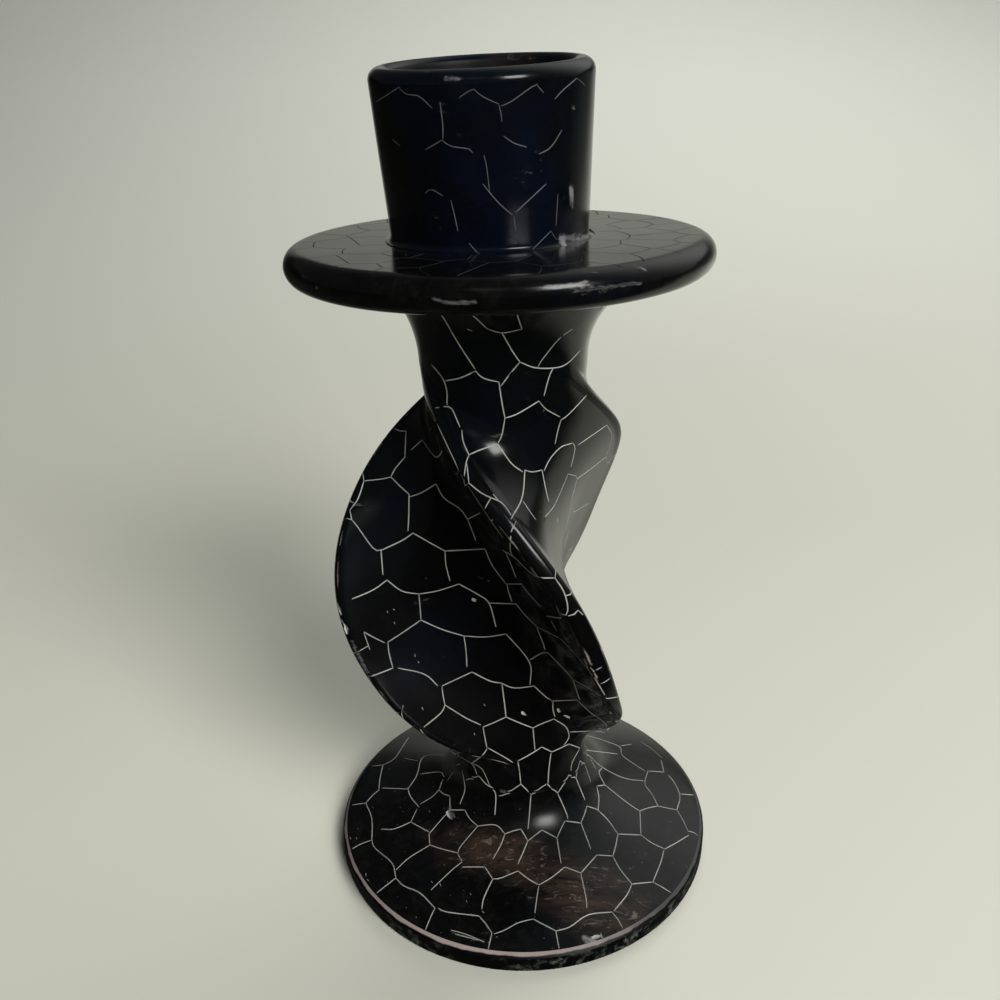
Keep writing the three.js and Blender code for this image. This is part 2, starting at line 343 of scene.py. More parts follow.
def turned_points(profile, columns, tilt=0.0, centre=(0.0, 0.0, 0.0)):
    """Rings of a turned shape from its (radius, height) outline, tilted to the left and placed."""
    outline = np.array(profile)
    angle = 2 * math.pi * (even_turns(columns) + 0.5)
    across = outline[:, :1] * np.sin(angle)
    depth = -outline[:, :1] * np.cos(angle)
    height = np.repeat(outline[:, 1:], columns, axis=1)
    leaned = across * math.cos(tilt) - height * math.sin(tilt)
    raised = across * math.sin(tilt) + height * math.cos(tilt)
    return np.stack((leaned, depth, raised), axis=2) + np.array(centre)


def line_points(start, end, step):
    count = max(1, math.ceil(math.dist(start, end) / step))
    shares = np.linspace(0, 1, count + 1)[:, None]
    return (1 - shares) * start + shares * end


def arc_points(middle, radius, start, end, step):
    """Points on an arc, from and to angles in degrees above the outward direction."""
    count = max(2, math.ceil(abs(math.radians(end - start)) * radius / step))
    angle = np.radians(np.linspace(start, end, count + 1))
    return middle + radius * np.stack((np.cos(angle), np.sin(angle)), axis=1)


def bezier_points(start, first, second, end, count):
    share = np.linspace(0, 1, count + 1)[:, None]
    rest = 1 - share
    pulled = 3 * rest**2 * share * first + 3 * rest * share**2 * second
    return rest**3 * start + pulled + share**3 * end


def joined(*stretches):
    """One outline from stretches that each start where the last one ends."""
    return np.concatenate((stretches[0], *(stretch[1:] for stretch in stretches[1:])))


def evenly(outline, step):
    """The same outline with points at even distances, so that slopes change smoothly."""
    run = running(np.linalg.norm(np.diff(outline, axis=0), axis=1))
    count = max(2, math.ceil(run[-1] / step))
    wanted = np.linspace(0, run[-1], count + 1)
    return np.stack([np.interp(wanted, run, outline[:, axis]) for axis in (0, 1)], axis=1)


# Nodes, and formulas written with them

class Wire:
    """A node's output, which can be reckoned with like a number."""

    def __init__(self, socket):
        self.socket = socket
        self.tree = socket.id_data

    def then(self, operation, *values):
        return reckoned("ShaderNodeMath", operation, self, *values)

    def __rsub__(self, other):
        return self * -1.0 + other

    def ranged(self, low, high, out_low=0.0, out_high=1.0):
        """The values from low to high, spread over another range."""
        return output_of(self.tree, "ShaderNodeMapRange", 0, Value=self, From_Min=low,
                         From_Max=high, To_Min=out_low, To_Max=out_high)


# The math node that each way of reckoning with a wire makes
OPERATIONS = {
    "__add__": "ADD", "__radd__": "ADD", "__sub__": "SUBTRACT", "__mul__": "MULTIPLY",
    "__rmul__": "MULTIPLY", "__truediv__": "DIVIDE", "__pow__": "POWER", "at_least": "MAXIMUM",
    "at_most": "MINIMUM", "below": "LESS_THAN", "times_and": "MULTIPLY_ADD", "sin": "SINE",
    "cos": "COSINE", "root": "SQRT", "exponent": "EXPONENT", "size": "ABSOLUTE",
    "floor": "FLOOR",
}
for method, operation in OPERATIONS.items():
    setattr(Wire, method, partialmethod(Wire.then, operation))


def reckoned(kind, operation, *values):
    """What a math node makes of some values, the first of them a wire."""
    node = add_node(values[0].tree, kind, {"operation": operation})
    for socket, value in zip(node.inputs, values):
        connect(socket, value)
    return Wire(node.outputs["Value"])


def connect(socket, value):
    """Links an input to a wire, or sets it to a value."""
    if isinstance(value, Wire):
        socket.id_data.links.new(value.socket, socket)
    else:
        socket.default_value = value


def feed(node, **inputs):
    """Connects a node's inputs by their names, written with underscores."""
    for key, value in inputs.items():
        connect(node.inputs[key.replace("_", " ")], value)


def add_node(tree, kind, options=None, **inputs):
    """A node with its options set and its inputs connected."""
    node = tree.nodes.new(kind)
    for key, value in (options or {}).items():
        setattr(node, key, value)
    feed(node, **inputs)
    return node


def output_of(tree, kind, output, options=None, **inputs):
    """One output of a new node."""
    return Wire(add_node(tree, kind, options, **inputs).outputs[output])


def separated(vector):
    """The three numbers of a vector."""
    return map(Wire, add_node(vector.tree, "ShaderNodeSeparateXYZ", Vector=vector).outputs)


def new_tree(kind, name, inputs):
    """A tree with named inputs, each with its kind or usual value, and the wires that enter it."""
    tree = bpy.data.node_groups.new(name, kind)
    for label, value in inputs.items():
        sort = value if isinstance(value, str) else "Float"
        socket = tree.interface.new_socket(label, in_out="INPUT", socket_type="NodeSocket" + sort)
        if sort != value:
            socket.default_value = value
    enter = tree.nodes.new("NodeGroupInput")
    return tree, {label: Wire(enter.outputs[label]) for label in inputs}


def closed_tree(tree, kind, **results):
    """The tree, with its named outputs of one kind."""
    for label in results:
        tree.interface.new_socket(label, in_out="OUTPUT", socket_type="NodeSocket" + kind)
    add_node(tree, "NodeGroupOutput", **results)
    return tree


def growing_tree(tree, geometry, material):
    """A Geometry Nodes tree that ends in plain geometry with its material."""
    real = output_of(tree, "GeometryNodeRealizeInstances", 0, Geometry=geometry)
    dressed = output_of(tree, "GeometryNodeSetMaterial", 0, Geometry=real, Material=material)
    return closed_tree(tree, "Geometry", Geometry=dressed)


def chosen(test, if_true, if_false):
    """One of two values, by a test that is 1 or 0."""
    return if_false + test * (if_true - if_false)


# The stem's shape

def neck_radius(rise, size):
    """Radius of the round neck at a height, and how far the flare has opened there."""
    flare = (rise - (size.height - size.flare_length)).at_least(0.0) / size.flare_length
    flare = flare ** size.flare_power
    plain = size.lower_neck + (size.upper_neck - size.lower_neck) * rise / size.height
    waist = size.waist_slope * rise * (rise / size.waist_fade * -1.0).exponent()
    return plain - waist + (size.flare_radius - size.upper_neck) * flare, flare


def fin_arch(rise, size):
    """How far the fins have arched out at a height, and how far the core has thickened."""
    lower = rise.below(size.arch_middle)
    half = chosen(lower, size.arch_middle, size.arch_upper)
    reach = ((rise - size.arch_middle).size() / half).at_most(1.0)
    power = chosen(lower, size.arch_lower_power, size.arch_upper_power)
    core_power = chosen(lower, size.core_lower_power, size.core_upper_power)
    sharp = (reach * (math.pi / 2)).cos().at_least(0.0) ** power
    start = size.waist_start
    soft = (sharp * sharp + start * start).root() - start
    return soft / ((start * start + 1.0).root() - start), reach ** core_power


def fin_angle(rise, size):
    """Where the front fin faces at a height, from the front towards the right."""
    highest = size.arch_middle + size.arch_upper
    share = (rise.at_most(highest) - size.twist_height) / size.twist_span
    return size.twist_front - size.twist_steady * share - size.twist_tighten * share * share * share


# The part of each third of a turn that a fin's round rim takes
RIM_SHARE = 0.12


def turned(angle, out, side):
    """A place some way out in a direction and some way beside it."""
    return angle.sin() * out + angle.cos() * side, angle.sin() * side - angle.cos() * out


def rim_place(share, angle, tip, size):
    """A place on a fin's round rim, from one side of the fin to the other."""
    across = ((share / RIM_SHARE).at_most(1.0) * math.pi).cos()
    back = (1.0 - across.size() ** 3.0).at_least(0.0) ** (1 / 3) - 1.0
    return turned(angle, tip + back * size.rim_round, across * size.rim_half * -1.0)


def face_place(way, angle, next_angle, tip, next_tip, core, size):
    """A place on the hollow face from one fin's rim to the next one's, on a parabola."""
    start = turned(angle, tip - size.rim_round, size.rim_half)
    end = turned(next_angle, next_tip - size.rim_round, size.rim_half * -1.0)
    hollow = turned((angle + next_angle) / 2.0, core * 2.0, 0.0)
    rest = 1.0 - way
    place = []
    for first, last, centre in zip(start, end, hollow):
        pull = centre - (first + last) / 2.0
        place.append(rest * rest * first + rest * way * 2.0 * pull + way * way * last)
    return place


def stem_place(turn, rise, size):
    """Where a share of a turn round the stem lies, at a height above its lower end."""
    arch, thicken = fin_arch(rise, size)
    neck, flare = neck_radius(rise, size)
    core = size.core_radius + (neck - size.core_radius) * thicken
    side = (turn * 3.0).floor()
    share = turn * 3.0 - side
    on_front = side.below(0.5)
    on_right = side.below(1.5)

    def of_side(front, right, left):
        return chosen(on_front, front, chosen(on_right, right, left))

    front_angle = fin_angle(rise, size)
    angle = of_side(0.0, size.turn_right, size.turn_left) + front_angle
    next_angle = of_side(size.turn_right, size.turn_left, 2 * math.pi) + front_angle
    reach = of_side(size.reach_front, size.reach_right, size.reach_left)
    next_reach = of_side(size.reach_right, size.reach_left, size.reach_front)
    started = rise / size.left_start
    late = 1.0 - (started * started * -1.0).exponent()
    growth = of_side(1.0, 1.0, late)
    next_growth = of_side(1.0, late, 1.0)
    tip = neck + (reach - neck) * arch * growth
    next_tip = neck + (next_reach - neck) * arch * next_growth
    rim = rim_place(share, angle, tip, size)
    way = (share - RIM_SHARE).at_least(0.0) / (1 - RIM_SHARE)
    face = face_place(way, angle, next_angle, tip, next_tip, core, size)
    x, y = (chosen(share.below(RIM_SHARE), *places) for places in zip(rim, face))
    # Round again where the fins have died away
    away = (x * x + y * y).root()
    grown_out = arch * (growth + (next_growth - growth) * way)
    scale = 1.0 + (neck / away - 1.0) * (1.0 - grown_out) ** 6.0
    axis = size.flare_shift * flare - size.drift * rise / size.height
    return x * scale + axis, y * scale


def labels(group):
    """The names of a settings group's properties, with the labels that they show."""
    return {key: group.bl_rna.properties[key].name for key in group.__annotations__}


def stem_tree():
    """A tree that bends a grid into the stem's smooth skin, one column for each share of a turn."""
    named = labels(StemShape)
    tree, enter = new_tree("GeometryNodeTree", "Twisted stem", {
        "Columns": "Int", "Rows": "Int", "Bottom": "Float", "Height": "Float",
        **dict.fromkeys(named.values(), "Float"),
    })
    size = SimpleNamespace(**{key: enter[label] for key, label in named.items()})
    size.height = enter["Height"]
    grid = output_of(tree, "GeometryNodeMeshGrid", "Mesh", Vertices_X=enter["Columns"],
                     Vertices_Y=enter["Rows"])
    x, y, _ = separated(output_of(tree, "GeometryNodeInputPosition", 0))
    turn = (x + 0.5).at_least(0.0).at_most(1.0 - 1e-6)
    rise = (y + 0.5).at_least(0.0).at_most(1.0) * size.height
    x, y = stem_place(turn, rise, size)
    place = output_of(tree, "ShaderNodeCombineXYZ", 0, X=x, Y=y, Z=rise + enter["Bottom"])
    bent = output_of(tree, "GeometryNodeSetPosition", 0, Geometry=grid, Position=place)
    return growing_tree(tree, bent, None)


def grown(source, tree, values):
    """The mesh that a tree makes of an object, with its inputs set by their labels."""
    modifier = source.modifiers.new("grown", "NODES")
    modifier.node_group = tree
    for item in tree.interface.items_tree:
        if item.item_type == "SOCKET" and item.in_out == "INPUT" and item.name in values:
            modifier[item.identifier] = values[item.name]
    bpy.context.view_layer.update()
    evaluated = source.evaluated_get(bpy.context.evaluated_depsgraph_get())
    mesh = bpy.data.meshes.new_from_object(evaluated)
    source.modifiers.remove(modifier)
    return mesh


def shown(name, data):
    """A new object in the scene."""
    thing = bpy.data.objects.new(name, data)
    bpy.context.scene.collection.objects.link(thing)
    return thing


def stem_points(size, columns, rows):
    """The stem's skin as rings of points, grown by its tree."""
    holder = shown("stem_grid", bpy.data.meshes.new("stem_grid"))
    values = {label: getattr(size, key) for key, label in labels(StemShape).items()}
    values.update(Columns=columns + 1, Rows=rows + 1, Bottom=STEM_BOTTOM, Height=STEM_TOP - STEM_BOTTOM)
    mesh = grown(holder, stem_tree(), values)
    places = np.empty(len(mesh.vertices) * 3, np.float32)
    mesh.vertices.foreach_get("co", places)
    bpy.data.objects.remove(holder)
    bpy.data.meshes.remove(mesh)
    points = places.astype(float).reshape(columns + 1, rows + 1, 3)
    return points[:columns].transpose(1, 0, 2)


# Skins of the four stone pieces

SKIN_COLUMNS = 720


def foot_edge(size):
    """The radius and the height of the bevel's upper edge."""
    return FOOT_RADIUS - size.bevel, size.wall + size.bevel


def foot_skin(size):
    """From the bevel's upper edge over the dome and up the sweep to the neck."""
    edge, edge_height = foot_edge(size)
    dome = bezier_points(
        (edge, edge_height),
        (edge - size.dome_run, edge_height + size.dome_rise),
        (size.neck_radius + size.sweep_run, FOOT_TOP - size.sweep_drop),
        (size.neck_radius, FOOT_TOP),
        count=400,
    )
    points = turned_points(evenly(dome, FINE), SKIN_COLUMNS)
    return waved_skin(points, size=14 * MM, depth=0.14 * MM, seed=3)


def stem_skin(size):
    points = stem_points(size, columns=600, rows=420)
    return waved_skin(points, size=16 * MM, depth=0.2 * MM, seed=5)


def pan_middle(size):
    return Vector((PAN_X, 0.0, STEM_TOP - size.seat + size.thickness / 2))


def pan_ring(size, radius, x, side):
    """A circle on the pan's lower or upper face, about an upright axis at x."""
    middle = pan_middle(size)
    height = side * size.thickness / 2
    ring = turned_points([(radius, 0.0)], SKIN_COLUMNS, centre=(x, 0.0, 0.0))[0]
    across = (ring[:, 0] - middle.x + height * math.sin(size.tilt)) / math.cos(size.tilt)
    ring[:, 2] = middle.z + across * math.sin(size.tilt) + height * math.cos(size.tilt)
    return ring


def pan_skin(size, stem, cup):
    """From the edge of the stem's seat round the rim to the edge of the cup's seat."""
    half = size.thickness / 2
    stem_edge = stem.flare_radius + size.seat_gap
    cup_edge = cup.lower_radius + cup.foot_fillet + size.seat_gap
    below = pan_ring(size, stem_edge, stem.flare_shift - stem.drift, side=-1)
    above = pan_ring(size, cup_edge, cup_x(cup), side=1)
    rim = turned_points(arc_points((size.radius - half, 0), half, -90, 90, FINE), SKIN_COLUMNS,
                        size.tilt, pan_middle(size))
    lower = between_rings(below, rim[0], FINE)
    upper = between_rings(rim[-1], above, FINE)
    points = np.concatenate((lower[:-1], rim, upper[1:]))
    return waved_skin(points, size=18 * MM, depth=0.07 * MM, seed=7)


def cup_x(cup):
    return PAN_X - cup.shift


def between_rings(start, end, step):
    """Rings that lead evenly from one ring to another."""
    long = np.linalg.norm(end - start, axis=1).max()
    share = np.linspace(0, 1, math.ceil(long / step) + 1)[:, None, None]
    return start * (1 - share) + end * share


def leaned(points, cup):
    """Rings of the upright cup, leaned to the left and the front with its foot kept level."""
    left = math.tan(cup.lean_left)
    front = math.tan(cup.lean_front)
    x, y, rise = points[..., 0], points[..., 1], points[..., 2]
    slope = (x * left + y * front) * rise / cup.height
    placed = np.stack((x - rise * left, y - rise * front, rise + slope), axis=2)
    return placed + np.array((cup_x(cup), 0.0, CUP_BOTTOM))


def cup_skin(size, seat):
    """From the pan's top up the wall, over the lip and down to the socket's floor."""
    lip_height = size.height - size.lip
    crest = size.upper_radius - size.lip
    inside = crest - size.mouth_radius
    floor = size.height - size.depth
    fillet = size.foot_fillet
    outline = joined(
        arc_points((size.lower_radius + fillet, seat + fillet), fillet, 270, 180, FINE),
        line_points((size.lower_radius, seat + fillet), (size.upper_radius, lip_height), FINE),
        arc_points((crest, lip_height), size.lip, 0, 90, FINE),
        arc_points((crest, size.height - inside), inside, 90, 180, FINE),
        line_points((size.mouth_radius, size.height - inside),
                    (size.floor_radius, floor + size.floor_fillet), FINE),
        arc_points((size.floor_radius - size.floor_fillet, floor + size.floor_fillet),
                   size.floor_fillet, 0, -90, FINE),
    )
    points = leaned(turned_points(evenly(outline, FINE), SKIN_COLUMNS), size)
    return waved_skin(points, size=20 * MM, depth=0.06 * MM, seed=9)


# Lines, pits, scuffs and painted highlights as read from the photograph: x and y in turn, in
# pixels of its frame, which is 1000 by 1000 with y downwards

BOLD_LINES = (
    # Upper neck and shoulder
    (451, 331, 460, 346, 475, 369), (476, 371, 460, 378, 445, 381),
    (431, 364, 442, 377, 447, 391, 447, 405), (476, 371, 483, 378, 499, 382),
    (499, 382, 502, 402, 505, 418), (501, 386, 510, 374, 520, 362), (502, 333, 513, 352, 520, 362),
    (520, 362, 537, 368, 563, 366, 580, 351), (553, 368, 549, 377, 544, 396),
    (505, 418, 517, 414, 539, 401), (561, 420, 569, 414, 587, 395), (561, 420, 558, 430, 555, 444),
    (505, 418, 502, 435, 498, 443), (498, 444, 480, 450, 469, 455), (498, 444, 511, 463, 523, 472),
    (525, 470, 532, 472, 542, 470), (525, 470, 522, 498, 511, 519), (542, 470, 546, 490, 549, 502),
    (544, 471, 550, 459, 561, 447, 573, 443), (573, 443, 575, 449, 571, 467),
    (578, 445, 594, 434, 607, 425), (607, 425, 612, 437, 606, 457), (606, 457, 592, 468, 577, 479),
    # Front fin's rim
    (435, 408, 450, 407, 457, 420, 460, 427), (462, 430, 463, 440, 469, 455),
    (469, 455, 466, 464, 464, 485, 469, 483), (467, 464, 469, 483),
    (469, 483, 483, 494, 502, 503, 511, 515), (493, 494, 498, 500), (516, 521, 511, 532),
    (511, 536, 510, 549, 512, 555), (502, 550, 515, 558, 535, 576, 555, 578), (555, 578, 556, 568),
    (555, 578, 564, 592, 568, 608, 566, 615), (546, 616, 559, 618, 564, 617),
    (568, 616, 573, 615, 578, 610),
    # Left face, upper half
    (391, 427, 400, 431, 406, 431), (406, 431, 405, 457), (405, 457, 395, 469, 391, 477),
    (422, 440, 411, 450), (422, 440, 434, 456, 439, 456, 442, 451), (364, 481, 382, 479, 391, 477),
    (364, 481, 363, 472), (364, 481, 358, 499, 350, 510), (350, 510, 352, 520),
    (341, 520, 352, 520, 373, 548, 382, 550), (391, 477, 401, 487, 409, 494),
    (409, 497, 421, 493, 436, 484), (409, 494, 409, 512, 408, 531),
    (436, 484, 444, 498, 460, 509, 468, 520), (468, 519, 480, 513), (468, 520, 476, 541),
    (382, 550, 403, 540, 413, 533), (413, 533, 434, 545, 445, 551), (445, 551, 465, 550, 485, 549),
    (485, 549, 492, 565, 506, 584), (445, 551, 446, 565, 450, 581), (381, 549, 383, 575),
    # Left face, middle and lower half
    (352, 599, 373, 590, 387, 580), (387, 580, 402, 591, 419, 594), (419, 594, 437, 591, 459, 584),
    (419, 595, 420, 606, 421, 620), (459, 584, 477, 594, 489, 603, 496, 627), (489, 603, 516, 604),
    (507, 584, 522, 584), (507, 584, 508, 590, 512, 602), (516, 604, 525, 615, 537, 627),
    (537, 627, 559, 638), (537, 628, 543, 643, 545, 650), (560, 638, 582, 662, 596, 680, 605, 695),
    (421, 620, 402, 633, 388, 642), (388, 642, 389, 653, 393, 668), (364, 632, 373, 637, 385, 643),
    (367, 677, 375, 675, 393, 668), (398, 668, 424, 674, 438, 686), (421, 620, 441, 629, 464, 636),
    (464, 636, 485, 637, 506, 634), (464, 636, 466, 650, 467, 667),
    (506, 634, 524, 654, 531, 667, 530, 685), (442, 686, 459, 678, 472, 672),
    (472, 672, 490, 681, 501, 683), (501, 683, 514, 688, 534, 686), (442, 687, 443, 695, 445, 705),
    (445, 705, 441, 713, 424, 727), (445, 705, 466, 718, 481, 725), (483, 727, 493, 723, 506, 717),
    (502, 684, 505, 707, 506, 717), (506, 717, 520, 723, 533, 728), (483, 727, 485, 738, 487, 748),
    (487, 749, 482, 756, 472, 763), (488, 748, 506, 758, 513, 763),
    # Right fin, lower end
    (530, 660, 542, 653, 548, 653), (548, 653, 560, 665, 573, 679), (573, 680, 578, 695, 580, 700),
    (574, 680, 590, 689, 605, 698, 617, 697), (606, 722, 621, 721), (534, 686, 546, 697, 551, 700),
    (551, 701, 577, 700), (577, 700, 591, 713, 604, 722, 608, 731), (553, 702, 553, 709, 555, 717),
    (533, 728, 541, 724, 554, 719), (554, 719, 566, 727, 569, 737, 564, 745),
    (570, 732, 596, 731, 605, 733), (533, 728, 535, 750), (518, 761, 529, 755, 542, 747),
    (542, 747, 552, 752), (552, 752, 569, 744), (569, 744, 580, 748),
    # Lower neck
    (518, 762, 520, 775, 521, 784), (551, 753, 549, 768, 548, 784), (580, 748, 572, 763, 571, 771),
    (580, 761, 577, 772, 576, 778), (580, 761, 585, 764), (471, 763, 475, 768, 477, 775),
    (466, 780, 479, 776), (462, 770, 465, 789, 460, 804),
    (479, 776, 487, 785, 493, 788, 496, 796, 495, 815), (456, 765, 460, 764),
    (499, 796, 506, 794, 521, 784), (521, 784, 531, 794), (531, 795, 546, 784), (547, 784, 558, 793),
    (531, 795, 529, 820, 528, 829), (558, 794, 566, 812, 568, 819), (569, 775, 563, 785, 558, 793),
    (569, 775, 576, 778), (576, 778, 585, 800),
    # Foot, left and front
    (439, 790, 444, 794, 450, 796), (450, 796, 450, 810), (450, 810, 465, 810),
    (465, 810, 470, 819, 478, 826), (478, 826, 496, 825, 505, 834), (505, 834, 513, 831, 521, 829),
    (521, 829, 528, 841), (528, 841, 542, 830), (542, 830, 557, 838), (528, 841, 523, 853, 518, 864),
    (505, 834, 501, 845, 493, 859), (478, 826, 461, 846, 458, 853), (450, 810, 442, 819, 429, 834),
    (557, 838, 559, 850, 561, 863), (429, 834, 430, 845), (430, 845, 409, 858, 396, 870),
    (430, 845, 442, 849, 458, 853), (458, 854, 462, 861), (462, 862, 451, 871, 431, 890),
    (462, 867, 485, 867), (485, 867, 493, 879), (493, 879, 484, 898, 482, 909),
    (493, 879, 501, 878, 518, 871), (518, 871, 530, 880, 539, 885), (539, 885, 551, 878, 565, 867),
    (539, 886, 537, 898, 535, 913), (565, 867, 581, 873), (494, 934, 505, 930, 518, 923, 533, 919),
    (533, 919, 556, 931), (556, 931, 558, 942, 560, 953), (556, 931, 570, 927, 588, 915, 612, 912),
    (612, 912, 619, 921, 626, 935), (438, 908, 447, 912, 479, 916), (479, 916, 486, 924, 492, 933),
    (492, 933, 490, 942, 488, 950), (435, 908, 430, 919, 425, 931),
    (435, 908, 420, 893, 404, 886, 396, 878), (396, 878, 392, 863, 375, 848, 372, 840),
    (372, 840, 372, 819, 366, 803), (372, 840, 361, 844, 352, 849), (396, 878, 387, 885, 377, 893),
    (366, 803, 352, 805), (366, 803, 373, 795, 379, 790), (379, 790, 380, 779, 383, 765),
    (383, 765, 394, 759, 403, 746, 409, 737), (372, 766, 383, 765), (382, 788, 408, 789),
    (408, 789, 411, 797, 419, 807), (445, 755, 428, 755, 421, 760, 417, 775, 408, 789),
    (420, 774, 440, 772, 444, 777), (443, 779, 439, 790), (381, 829, 394, 829, 411, 822),
    (411, 822, 420, 827, 429, 832),
    # Foot, right
    (587, 806, 599, 810), (587, 806, 585, 813, 581, 823), (566, 821, 581, 823),
    (581, 823, 586, 836, 591, 849), (565, 821, 561, 829, 557, 838), (599, 811, 608, 820, 618, 834),
    (618, 834, 641, 835), (618, 834, 616, 845, 613, 856), (613, 856, 620, 869, 632, 884),
    (597, 855, 613, 856), (581, 873, 589, 864, 597, 855), (581, 874, 586, 897, 587, 908),
    (632, 884, 627, 895, 614, 911), (632, 884, 653, 882), (653, 882, 662, 887, 673, 894),
    (664, 850, 661, 862, 653, 882), (641, 835, 652, 843, 665, 849), (665, 849, 676, 843, 689, 835),
    (640, 811, 641, 835), (640, 811, 648, 808, 658, 806), (658, 806, 652, 794, 645, 784, 648, 771),
    (648, 771, 664, 772), (664, 772, 661, 760), (668, 775, 674, 782, 680, 796, 677, 810),
    (680, 794, 695, 795), (677, 810, 683, 820, 688, 831), (688, 831, 695, 833, 700, 838),
    (585, 750, 618, 754), (588, 754, 602, 767, 624, 778, 645, 781),
    (603, 740, 620, 747, 623, 756, 645, 771), (602, 768, 599, 773, 605, 785), (597, 786, 605, 785),
    (605, 785, 629, 804, 640, 811), (597, 787, 599, 798, 598, 811),
)

FINE_LINES = (
    # Stem and foot
    (538, 367, 542, 360, 559, 339, 573, 329), (539, 401, 546, 409, 560, 417),
    (606, 457, 607, 462, 610, 463), (577, 479, 576, 476, 568, 474),
    (568, 474, 564, 484, 554, 506, 545, 517), (577, 480, 574, 491, 571, 504, 573, 512, 589, 503),
    (558, 517, 557, 523), (523, 501, 529, 510, 536, 520), (487, 329, 503, 333, 522, 329),
    (467, 329, 472, 331), (431, 411, 450, 451, 464, 481), (468, 486, 491, 521, 503, 538),
    (578, 610, 583, 615), (551, 621, 557, 632), (505, 552, 510, 562, 516, 578), (422, 440, 429, 450),
    (522, 585, 529, 594, 541, 607), (364, 633, 370, 650), (594, 671, 602, 667),
    (420, 729, 429, 739, 450, 751, 471, 763), (585, 765, 591, 782), (472, 763, 482, 769, 490, 786),
    (404, 758, 418, 761), (439, 790, 432, 797, 420, 804), (454, 771, 447, 781), (417, 809, 411, 822),
    (658, 806, 677, 810), (589, 756, 596, 769), (620, 746, 632, 744), (640, 741, 652, 749, 662, 758),
    # Cup
    (499, 105, 501, 112, 502, 122), (501, 106, 512, 101, 530, 88, 538, 84), (537, 85, 544, 93),
    (376, 102, 387, 95, 399, 87), (399, 87, 406, 94, 419, 96, 432, 108), (440, 102, 443, 125, 443, 139),
    (459, 98, 467, 92, 474, 89), (474, 89, 482, 96, 499, 104), (555, 99, 562, 91, 577, 78),
    (577, 78, 585, 85), (425, 150, 442, 140), (442, 140, 451, 146, 470, 149, 473, 153),
    (392, 139, 400, 146), (484, 155, 487, 168, 490, 194), (504, 136, 514, 143, 527, 147),
    (562, 130, 551, 147, 539, 154), (425, 194, 431, 189, 443, 196), (451, 200, 456, 221, 458, 231),
    (483, 184, 499, 203, 513, 215), (546, 184, 530, 199, 516, 212), (514, 216, 516, 231),
    (558, 194, 557, 210, 556, 226), (469, 243, 484, 260), (533, 249, 543, 239, 551, 231),
    (551, 231, 560, 245),
    # Hairline scratches and specks
    (451, 930, 468, 935, 484, 942), (455, 934, 478, 940), (446, 76, 450, 78), (454, 79, 458, 79),
    (387, 611, 388, 613), (393, 609, 395, 610), (394, 622, 395, 624), (415, 654, 415, 657),
    (418, 661, 419, 663), (403, 705, 403, 708), (422, 707, 423, 710), (484, 704, 485, 706),
    (474, 733, 475, 735), (366, 873, 366, 876), (367, 879, 369, 881), (350, 837, 351, 839),
    (356, 837, 357, 839), (431, 881, 433, 883), (440, 883, 441, 886), (470, 893, 471, 895),
    (466, 900, 467, 902), (482, 911, 484, 913), (429, 810, 430, 812), (577, 290, 606, 287),
    (612, 286, 641, 283),
)

PITS = (
    (472, 599, 476, 601), (558, 709, 560, 713), (566, 716, 570, 718), (447, 812, 451, 818),
    (592, 938, 600, 936), (598, 949, 606, 946), (575, 951, 584, 954), (337, 602, 341, 614),
    (345, 626, 347, 634), (349, 646, 352, 652), (351, 658, 354, 664), (522, 712, 524, 714),
    (340, 619, 343, 622), (356, 668, 358, 671),
)

# Scuffs with painted highlights among them, and brown patches, each with its half width in millimetres and
# its strength before its points

# Some of these are real scuffs; others paint in highlights and reflections, such as the streak along the
# pan's rim, the spot on the neck and the pale patches on the cup's right side
SCUFFS_AND_HIGHLIGHTS = (
    (1.0, 0.85, 430, 299, 452, 303, 474, 302), (0.8, 1.0, 546, 287, 566, 286, 589, 281),
    (1.1, 0.8, 577, 290, 610, 287, 643, 283), (0.5, 0.6, 500, 297, 540, 298, 586, 295, 610, 293),
    (1.8, 0.7, 492, 437, 506, 434), (1.1, 0.75, 536, 416, 548, 406), (1.3, 1.2, 571, 186, 572, 204),
    (1.5, 1.2, 561, 236, 564, 245), (1.6, 0.9, 560, 238, 590, 236), (1.3, 0.6, 520, 158, 523, 184),
    (1.2, 0.6, 540, 156, 541, 172), (1.0, 0.9, 446, 78, 459, 79), (1.6, 0.8, 352, 642, 358, 655, 368, 674),
    (1.6, 0.9, 449, 808, 454, 818), (1.2, 0.45, 500, 303, 515, 307), (2.4, 0.3, 370, 84, 440, 80, 500, 80),
    (1.6, 0.7, 451, 932, 484, 942), (1.8, 1.2, 586, 939, 604, 946), (2.4, 0.3, 520, 700, 560, 712),
    (2.2, 0.25, 410, 500, 430, 520), (2.5, 0.25, 380, 640, 400, 700), (3.0, 0.3, 505, 930, 560, 925),
    (2.0, 0.3, 345, 575, 365, 580),
)

BROWN_PATCHES = (
    (4.5, 0.8, 455, 838, 480, 842, 530, 848), (6.5, 1.0, 478, 850, 530, 866, 580, 884),
    (7.0, 1.0, 560, 890, 600, 912, 645, 935), (4.0, 0.4, 600, 870, 640, 900),
    (3.0, 0.4, 430, 830, 445, 860), (3.0, 0.5, 493, 60, 525, 60),
)


# The camera of the photograph, and what it shows of the skins

# Metres and radians, as fitted to the holder's outlines in the photograph
CAMERA_PLACE = np.array((0.0, -0.1569, 0.1479))
CAMERA_DOWN = 0.4268
CAMERA_TURN = -0.021
CAMERA_ROLL = -0.0235
FOCAL_PIXELS = 934.2
FRAME_PIXELS = 1000

# How squarely a place has to face the camera for its lines to be read, as a cosine
LEAST_FACING = 0.1
# How far behind what a ray meets a place may lie and still be seen
SIGHT_SLACK = 1.2 * MM
# Step in pixels along a line in the photograph, and the widest gap on the stone between two steps
TRACE_STEP = 1.5
TRACE_GAP = 2.5 * MM


